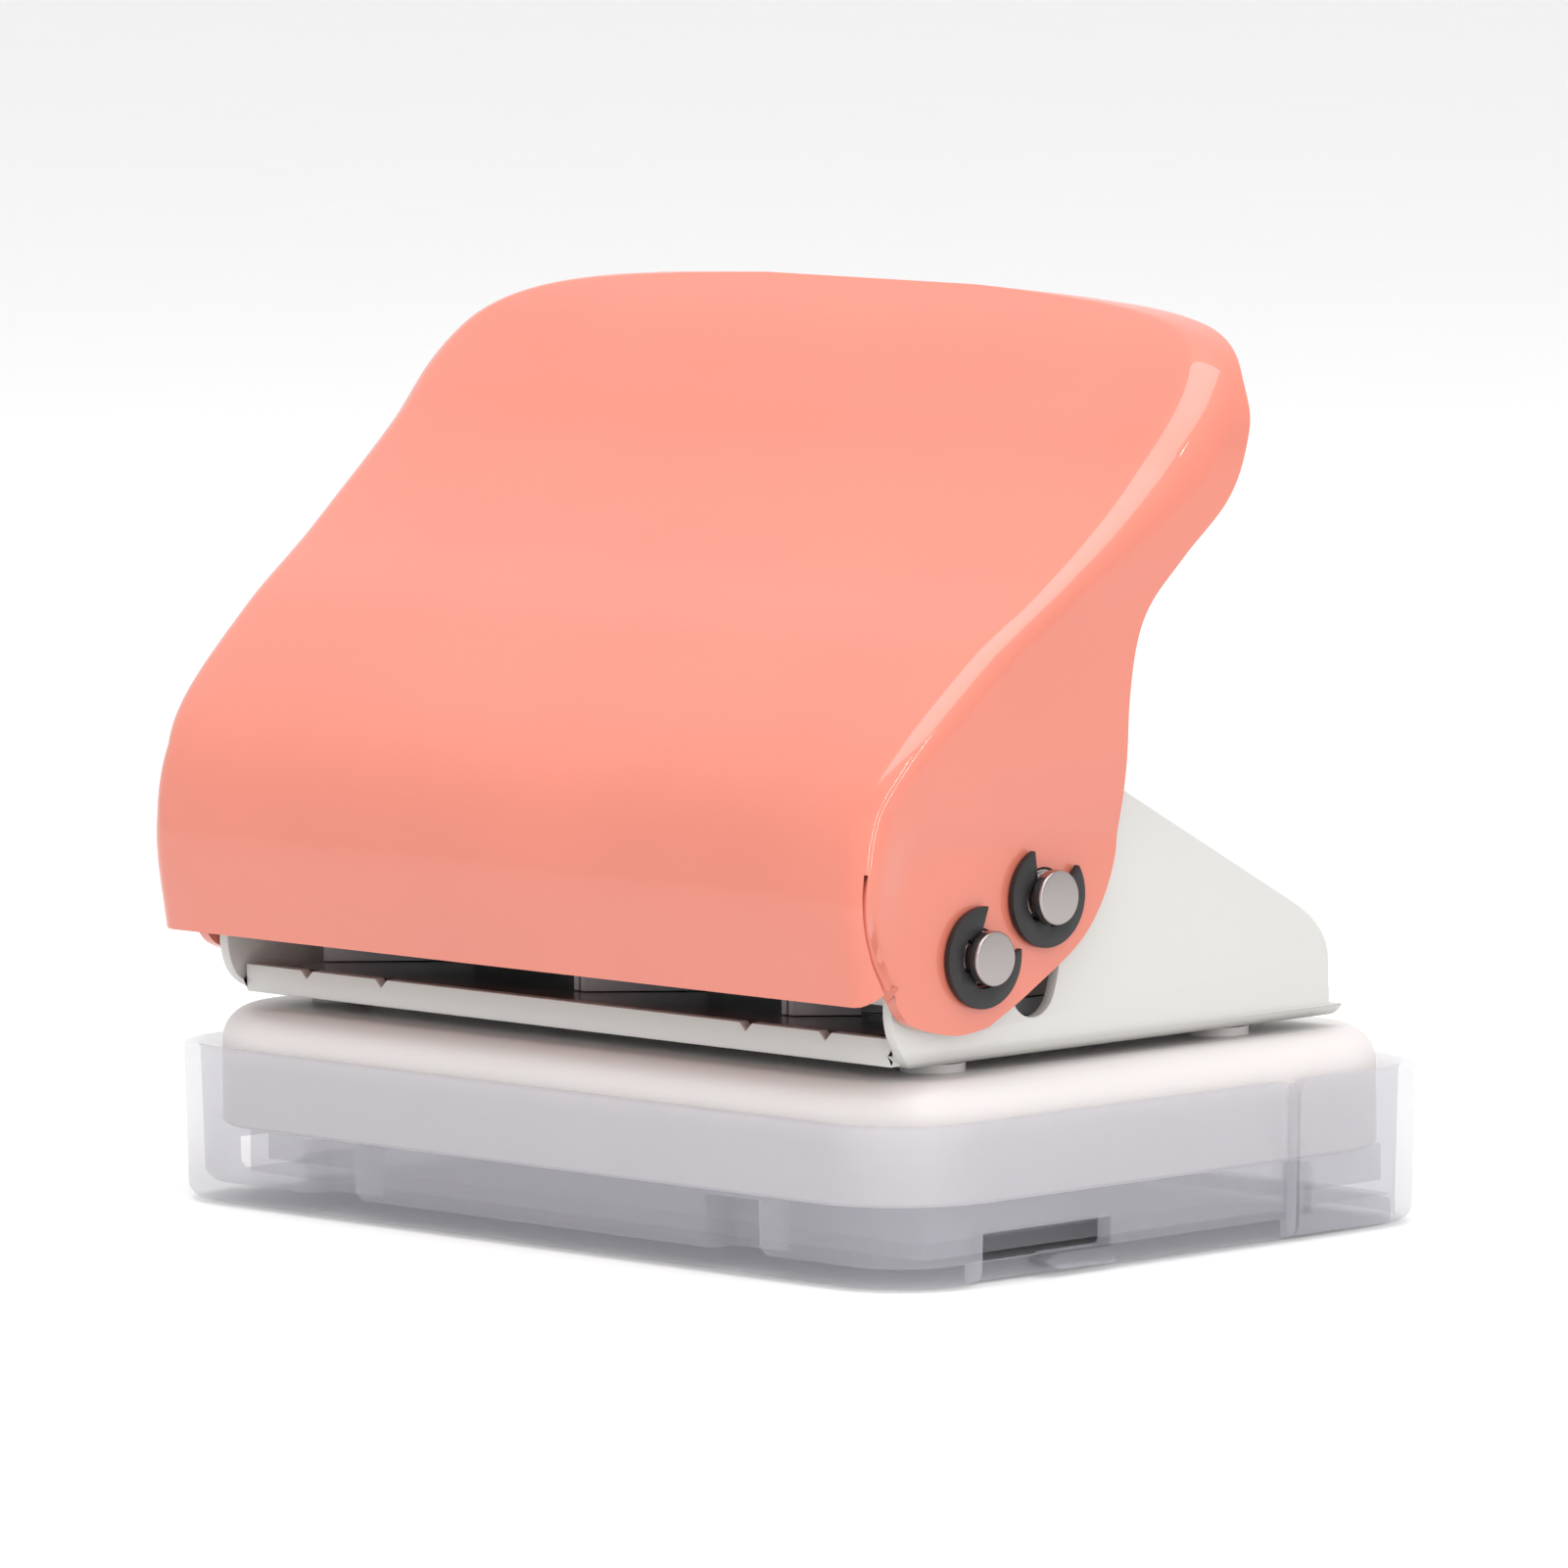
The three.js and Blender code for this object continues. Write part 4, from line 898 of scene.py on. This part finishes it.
def inner_works():
    """CAD nodes that keep their shape. Those that slide in a close fit keep sharp edges."""
    finishes = {"die_plate": "steel", "cutter_guide": "steel", "cutter_carrier": "steel"}
    for station in STATIONS:
        finishes[f"fence_{station}"] = "grey_plastic"
        finishes[f"cutter_{station}"] = "tool_steel"
    for word, _ in SIDES:
        finishes[f"spring_post_{word}"] = "steel"
    for node, slot in finishes.items():
        obj = frame["nodes"][node]
        dress(obj, slot)
        if node.startswith(("cutter_carrier", "spring_post")):
            edges = obj.modifiers.new("edges", "BEVEL")
            edges.width = 0.15 * MM
            edges.segments = EDGE_SEGMENTS
            edges.limit_method = "ANGLE"
            edges.angle_limit = math.radians(40)


# ------------------------------------------------------------------ studio


def direction(azimuth, elevation):
    """Unit vector from the object towards a viewer or a light."""
    a, e = math.radians(azimuth), math.radians(elevation)
    return Vector((math.sin(a) * math.cos(e), -math.cos(a) * math.cos(e), math.sin(e)))


def camera():
    azimuth, elevation, roll = 45.734, 5.943, -0.4
    distance, across, up = 1247.7, -1.048, 39.46
    back = direction(azimuth, elevation)
    right = Vector((math.cos(math.radians(azimuth)), math.sin(math.radians(azimuth)), 0))
    top = back.cross(right)
    c, s = math.cos(math.radians(roll)), math.sin(math.radians(roll))
    right, top = c * right + s * top, -s * right + c * top
    data = bpy.data.cameras.new("camera")
    data.lens = 305.8
    data.sensor_width = 36
    data.clip_end = 10
    obj = bpy.data.objects.new("camera", data)
    place = (back * distance + right * across + top * up) * MM
    turn = Matrix((right, top, back)).transposed().to_4x4()
    obj.matrix_world = Matrix.Translation(place) @ turn
    bpy.context.scene.collection.objects.link(obj)
    bpy.context.scene.camera = obj


LIGHT_AIM = Vector((0, 0, 0.045))


def area_light(name, azimuth, elevation, distance, width, height, power):
    data = bpy.data.lights.new(name, "AREA")
    data.shape = "RECTANGLE"
    data.size, data.size_y = width, height
    data.energy = power
    obj = bpy.data.objects.new(name, data)
    back = direction(azimuth, elevation)
    obj.location = LIGHT_AIM + back * distance
    obj.rotation_mode = "QUATERNION"
    obj.rotation_quaternion = back.to_track_quat("Z", "Y")
    bpy.context.scene.collection.objects.link(obj)


def studio():
    reach, top = 4000, -0.3
    corners = [(x, y, top) for x, y in (
        (-reach, -reach), (reach, -reach), (reach, reach), (-reach, reach))]
    floor = make("floor", corners, [(0, 1, 2, 3)])
    floor.data.materials.append(material("floor_white", (0.86, 0.86, 0.86), 0.7, 4, 0.01, 0.02))
    world = bpy.data.worlds.new("studio")
    bpy.context.scene.world = world
    world.use_nodes = True
    world.node_tree.nodes["Background"].inputs["Color"].default_value = (1, 1, 1, 1)
    world.node_tree.nodes["Background"].inputs["Strength"].default_value = 1.0
    area_light("top_box", 35, 76, 0.9, 0.8, 0.8, 7)
    area_light("left_strip", 62, 20, 1.1, 0.02, 0.9, 1.5)
    area_light("right_strip", 74, 20, 1.1, 0.02, 0.9, 1.5)
    bpy.context.scene.view_settings.view_transform = "Standard"


handle()
pins()
clips_and_washers()
frame_piece()
base_cover()
chip_tray()
chip_drawer()
return_springs()
screws()
inner_works()
camera()
studio()
